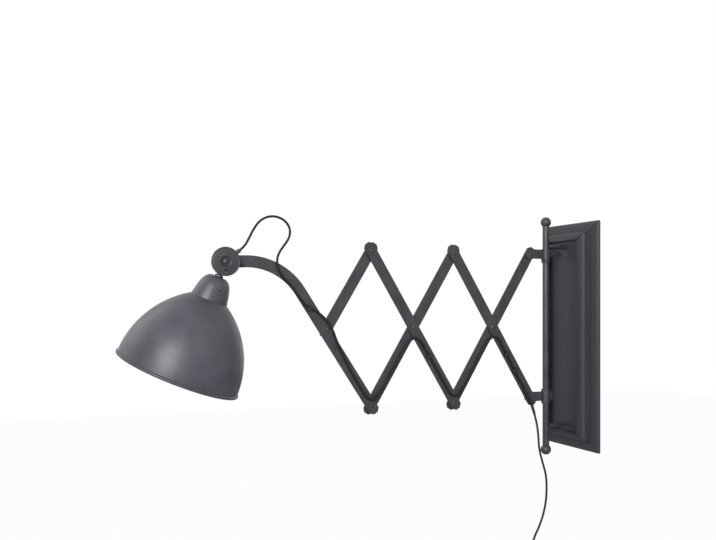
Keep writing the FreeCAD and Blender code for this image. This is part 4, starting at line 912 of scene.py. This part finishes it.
def makeHolder(h):
    wide, inner, hole = h["radius"], h["radius"] - h["wall"], h["stemHole"]
    top, ceiling = h["top"], h["top"] - h["wall"]
    across, down = h["shoulder"]
    acrossInside, downInside = h["shoulderInside"]
    body = [(hole, top), (wide - across, top), (wide, top - down), (wide, h["bottom"]),
            (inner, h["bottom"]), (inner, ceiling - downInside), (inner - acrossInside, ceiling),
            (hole, ceiling)]
    turned("lampholderBody", body, inHead, "plastic", "head", ("lampholder_body",), 64, h["ease"])
    low = h["bottom"] + h["socketUp"]
    count = h["threads"] * h["threadSteps"]
    outside, inside = [], []
    for step in range(count + 1):
        height = low + h["socketDeep"] * step / count
        swell = h["threadDeep"] / 2 * (1 + math.sin(2 * math.pi * step / h["threadSteps"]))
        inside.append((h["socket"] + swell, height))
        outside.append((h["socket"] + h["socketWall"] + swell, height))
    outside.reverse()
    turned("socketShell", inside + outside, inHead, "brass", "head", ("socket_shell",), 64, 0)


makeHolder(holder)
softened("socketBase", "socket_contact", "porcelain", "head", 0.25)
softened("stemTube", "stem", "steel", "head", 0.3)
softened("stemNutPair", "stem_nuts", "steel", "head", 0.35)
print("shade made")


# The cable down the strips. Points are millimetres, from the knuckle to the free end.
cable = {
    "diameter": 4.0,
    "roundSteps": 5,
    "stretchSteps": 10,
    "freeSteps": 6,
    "loopBendsFrom": (7.5, -627.0, 210.0),
    "loopBendsTo": (7.5, -585.0, 178.5),
    "loop": [
        (9.3, -676.31, 150.09), (9.3, -667.64, 156.86), (9.3, -660.5, 169.5), (9.1, -652.5, 185.5),
        (8.8, -642.5, 200.0), (8.3, -627.0, 209.0), (7.8, -609.5, 209.0), (7.2, -594.8, 201.5),
        (6.6, -587.0, 188.0), (6.2, -589.0, 173.8), (5.9, -598.0, 161.0), (5.7, -606.5, 149.5),
        (5.6, -611.0, 136.5),
    ],
    "onArm": [
        (5.6, -608.0, 119.5), (5.6, -599.0, 107.0), (5.6, -583.5, 91.5), (5.6, -568.5, 70.5),
        (5.6, -558.5, 58.0), (5.6, -546.0, 52.5), (5.6, -533.0, 45.5), (5.6, -519.5, 32.0),
        (5.6, -510.0, 17.5), (5.6, -504.5, 2.5), (5.6, -497.0, -14.0), (5.6, -482.0, -45.0),
        (5.6, -466.0, -71.0), (5.6, -452.0, -94.0),
    ],
    "turnBottomThree": [(5.8, -443.5, -105.5), (5.7, -430.0, -107.5), (2.4, -418.5, -96.0)],
    "onOuterRear": [(1.8, -408.0, -79.5), (1.7, -388.0, -46.0), (1.8, -371.5, -18.0)],
    "turnCrossTwo": [(3.6, -363.0, -6.0), (5.9, -353.5, 1.5), (5.7, -342.0, -2.5)],
    "onOuterFront": [(5.6, -333.0, -15.5), (5.6, -313.0, -48.0), (5.6, -293.5, -80.0), (5.6, -284.0, -95.0)],
    "turnBottomTwo": [(5.8, -276.5, -106.0), (5.7, -263.5, -108.0), (2.4, -251.5, -97.0)],
    "onInnerRear": [(1.9, -239.5, -80.0), (1.7, -222.5, -47.0), (1.8, -205.5, -18.0)],
    "turnCrossOne": [(3.6, -197.0, -6.0), (5.9, -187.5, 1.5), (5.7, -176.0, -2.5)],
    "onInnerFront": [(5.6, -168.5, -16.0), (5.6, -149.5, -48.5), (5.6, -132.0, -79.5), (5.7, -121.5, -95.5)],
    "turnBottomOne": [(5.9, -116.2, -107.0), (6.655, -106.901, -120.114)],
    "reliefTop": (6.8, -103.2, -131.0),
    "tail": [
        (7.2, -93.0, -161.0), (8.8, -89.6, -187.0), (12.2, -90.4, -216.0), (14.3, -82.8, -244.0),
        (15.0, -75.6, -268.0), (15.0, -74.6, -298.0), (15.0, -78.0, -327.0), (15.0, -88.6, -358.0),
        (15.0, -102.5, -381.0), (15.4, -111.0, -403.5), (17.0, -107.5, -430.0),
    ],
}


def splineCurve(name, points, diameter, resolution):
    curve = bpy.data.curves.new(name, "CURVE")
    curve.dimensions = "3D"
    curve.bevel_depth = diameter * mm / 2
    curve.bevel_resolution = cable["roundSteps"]
    curve.use_fill_caps = True
    curve.resolution_u = resolution
    curve.materials.append(coats["cable"])
    spline = curve.splines.new("NURBS")
    spline.points.add(len(points) - 1)
    for slot, point in zip(spline.points, points):
        slot.co = (*[value * mm for value in point], 1)
    spline.order_u = 3
    spline.use_endpoint_u = True
    spline.use_smooth = True
    return link(bpy.data.objects.new(name, curve))


def halfway(one, other):
    return tuple((Vector(one) + Vector(other)) / 2)


# Each stretch rides on one body, or runs from one to the next past a pivot and rides on none.
stretches = [
    ("loop", "cable_head_loop", ("head", "lamp_arm")),
    ("onArm", "cable_on_arm", "lamp_arm"),
    ("turnBottomThree", "cable_turn_bottom_3", ("lamp_arm", "outer_rear")),
    ("onOuterRear", "cable_on_outer_rear", "outer_rear"),
    ("turnCrossTwo", "cable_turn_cross_2", ("outer_rear", "outer_front")),
    ("onOuterFront", "cable_on_outer_front", "outer_front"),
    ("turnBottomTwo", "cable_turn_bottom_2", ("outer_front", "inner_rear")),
    ("onInnerRear", "cable_on_inner_rear", "inner_rear"),
    ("turnCrossOne", "cable_turn_cross_1", ("inner_rear", "inner_front")),
    ("onInnerFront", "cable_on_inner_front", "inner_front"),
    ("turnBottomOne", "cable_turn_bottom_1", ("inner_front", "lower_slider")),
]


def makeStretches(c):
    for index, (key, node, rider) in enumerate(stretches):
        points = list(c[key])
        if index:
            points.insert(0, halfway(c[stretches[index - 1][0]][-1], c[key][0]))
        after = c[stretches[index + 1][0]][0] if index + 1 < len(stretches) else None
        points.append(halfway(c[key][-1], after) if after else c["reliefTop"])
        curve = splineCurve(key + "Curve", points, c["diameter"], c["stretchSteps"])
        mesh = evaluatedMesh(curve)
        bpy.data.objects.remove(curve)
        bm = bmesh.new()
        bm.from_mesh(mesh)
        bmesh.ops.remove_doubles(bm, verts=bm.verts, dist=shaping["merge"])
        name = "cable" + key[0].upper() + key[1:]
        if isinstance(rider, str):
            asPiece(name, bm, "cable", rider, (node,))
            continue
        piece = asPiece(name, bm, "cable", None)
        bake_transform(piece)
        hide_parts(node)


makeStretches(cable)
softened("armClip", "arm_clip", "plastic", "lamp_arm", 0.4)
softened("outerClip", "outer_clip", "plastic", "outer_front", 0.4)
softened("innerClips", "inner_clips", "plastic", "inner_front", 0.4)
print("cable on the strips made")

# The free cable: down from the strain relief, then wound into a tied coil.
coil = {
    "centre": (15.0, -110.5, -490.0),
    "startAngle": 130.0,
    "radius": 30.0,
    "pitch": 5.3,  # from one turn to the next, outwards
    "layer": 5.1,  # from one layer to the next
    "layers": 4,
    "halfTurns": 4,
    "lead": 22.0,
    "exit": 24.0,
    "bend": 4.0,
    "perHalfTurn": 8,
}


def coilPoints(k):
    centreX, centreY, centreZ = k["centre"]
    # each half turn says how much wider and how much further along it goes
    wider = k["pitch"] / 2
    halfTurns = [(-wider, 0)] * (k["halfTurns"] + 1)
    for layer in range(1, k["layers"]):
        halfTurns.append((0, -k["layer"]))
        halfTurns += [(wider if layer % 2 else -wider, 0)] * k["halfTurns"]
    halfTurns.append((0, 0))
    swell = 1 / math.cos(math.pi / (2 * k["perHalfTurn"]))  # the points lie outside the curve
    angle, radius = math.radians(k["startAngle"]), k["radius"]
    depth = centreX + (k["layers"] - 1) / 2 * k["layer"]
    way = Vector((0, -math.sin(angle), math.cos(angle)))
    start = Vector((depth, centreY + radius * math.cos(angle), centreZ + radius * math.sin(angle)))
    points = [tuple(start - way * k["lead"]), tuple(start - way * k["bend"])]
    for index, (grow, climb) in enumerate(halfTurns):
        turn = math.pi if index < len(halfTurns) - 1 else math.radians(180 - k["startAngle"])
        count = max(2, round(k["perHalfTurn"] * turn / math.pi))
        for step in range(count):
            share = (step + 0.5) / count
            there, wide = angle + turn * share, (radius + grow * share) * swell
            points.append((depth + climb * share, centreY + wide * math.cos(there),
                           centreZ + wide * math.sin(there)))
        angle, radius, depth = angle + turn, radius + grow, depth + climb
    side = centreY - radius
    return points + [(depth, side, centreZ - k["bend"]), (depth, side, centreZ - k["exit"])]


def makeFreeCable(c, k):
    points = [c["reliefTop"]] + c["tail"] + coilPoints(k)
    curve = splineCurve("freeCable", points, c["diameter"], c["freeSteps"])
    bare = splineCurve("freeCableLine", points, 0, c["freeSteps"])
    line = evaluatedMesh(bare)
    bpy.data.objects.remove(bare)
    along = [vertex.co for vertex in line.vertices]
    length = sum((ahead - here).length for here, ahead in zip(along, along[1:]))
    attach(curve, "lower_slider")
    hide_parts("cable_tail", "cable_coil")
    print("free cable", round(length, 3), "m")
    return curve, length


freeCable, freeLength = makeFreeCable(cable, coil)

# The ribbed strain relief, the coil's tie and the plug.
relief = {
    "long": 20.0,
    "top": 3.1,
    "tip": 2.4,
    "bore": 2.05,
    "rings": 6,
    "groove": 0.21,
    "grooveShape": ((0.35, 0), (0.5, 1), (0.65, 1), (0.8, 0)),  # share of a ring, and of the depth
}


def makeRelief(r):
    top, below = Vector(cable["reliefTop"]) * mm, Vector(cable["tail"][0]) * mm
    profile = [(r["bore"], 0), (r["top"], 0)]
    for ring in range(r["rings"]):
        for share, deep in r["grooveShape"]:
            down = (ring + share) / r["rings"]
            radius = r["top"] + (r["tip"] - r["top"]) * down - deep * r["groove"]
            profile.append((radius, down * r["long"]))
    profile += [(r["tip"], r["long"]), (r["bore"], r["long"])]
    return turned("strainRelief", profile, standing(top, below - top), "plastic", "lower_slider",
                  ("strain_relief",), 32, 0)


reliefPiece = makeRelief(relief)
tiePiece = softened("coilTie", "cable_tie", "plastic", "lower_slider", 0.3)
plugPiece = softened("plugBody", "plug_body", "plastic", "lower_slider", 1.2)
pinPiece = softened("plugPins", "plug_pins", "brass", "lower_slider", 0.2)
print("free cable made")

# A pale floor and backdrop, soft lamps near the camera and a bright room.
studio = {
    "floor": -1.05,
    "size": 14.0,
    "ahead": -0.4,
    "pale": 0.80,
    "paperRough": 0.9,
    "paperGlow": 0.96,
    "roomColour": (0.94, 0.96, 1.0),
    "roomLight": 0.34,
    "lamps": [
        ((2.85, -2.6, 1.1), 1.9, 122.0),
        ((2.4, 0.6, 1.7), 1.2, 6.0),
        ((-1.4, -2.3, 1.6), 2.0, 12.0),
    ],
    "aim": (0.0, -0.5, 0.0),
}


def makeFloor(s):
    # the floor glows for the camera alone, and keeps a little of its shadow
    bm = bmesh.new()
    half = s["size"] / 2
    corners = [(-half, -half), (half, -half), (half, half), (-half, half)]
    bm.faces.new([bm.verts.new((x, y + s["ahead"], s["floor"])) for x, y in corners])
    mesh = bpy.data.meshes.new("floor")
    bm.to_mesh(mesh)
    bm.free()
    material, tree, shader = blankMaterial("floorPaper")
    shader.inputs["Base Color"].default_value = (s["pale"], s["pale"], s["pale"], 1)
    shader.inputs["Roughness"].default_value = s["paperRough"]
    glow = tree.nodes.new("ShaderNodeEmission")
    rays = tree.nodes.new("ShaderNodeLightPath")
    seen = tree.nodes.new("ShaderNodeMath")
    seen.operation = "MULTIPLY"
    seen.inputs[1].default_value = s["paperGlow"]
    blend = tree.nodes.new("ShaderNodeMixShader")
    out = tree.nodes["Material Output"]
    tree.links.new(rays.outputs["Is Camera Ray"], seen.inputs[0])
    tree.links.new(seen.outputs[0], blend.inputs["Fac"])
    tree.links.new(shader.outputs["BSDF"], blend.inputs[1])
    tree.links.new(glow.outputs["Emission"], blend.inputs[2])
    tree.links.new(blend.outputs["Shader"], out.inputs["Surface"])
    mesh.materials.append(material)
    link(bpy.data.objects.new("floor", mesh))


def makeRoom(s):
    # white to the camera, in gloss and through glass, and a soft light to the rest
    world = bpy.data.worlds.new("room")
    bpy.context.scene.world = world
    world.use_nodes = True
    tree = world.node_tree
    light = tree.nodes["Background"]
    light.inputs["Color"].default_value = (*s["roomColour"], 1)
    light.inputs["Strength"].default_value = s["roomLight"]
    backdrop = tree.nodes.new("ShaderNodeBackground")
    backdrop.inputs["Color"].default_value = (1, 1, 1, 1)
    rays = tree.nodes.new("ShaderNodeLightPath")
    white = tree.nodes.new("ShaderNodeMath")
    white.operation = "MAXIMUM"
    clear = tree.nodes.new("ShaderNodeMath")
    clear.operation = "MAXIMUM"
    blend = tree.nodes.new("ShaderNodeMixShader")
    tree.links.new(rays.outputs["Is Camera Ray"], white.inputs[0])
    tree.links.new(rays.outputs["Is Glossy Ray"], white.inputs[1])
    tree.links.new(white.outputs[0], clear.inputs[0])
    tree.links.new(rays.outputs["Is Transmission Ray"], clear.inputs[1])
    tree.links.new(clear.outputs[0], blend.inputs["Fac"])
    tree.links.new(light.outputs["Background"], blend.inputs[1])
    tree.links.new(backdrop.outputs["Background"], blend.inputs[2])
    tree.links.new(blend.outputs["Shader"], tree.nodes["World Output"].inputs["Surface"])


def makeLamps(s):
    for index, (place, size, power) in enumerate(s["lamps"]):
        light = bpy.data.lights.new("softbox" + str(index + 1), "AREA")
        light.shape = "SQUARE"
        light.size = size
        light.energy = power
        lamp = link(bpy.data.objects.new(light.name, light))
        lamp.location = place
        lamp.rotation_mode = "QUATERNION"
        lamp.rotation_quaternion = (Vector(s["aim"]) - Vector(place)).to_track_quat("-Z", "Y")


makeFloor(studio)
makeRoom(studio)
makeLamps(studio)
bpy.context.scene.view_settings.view_transform = "Standard"
print("studio made")
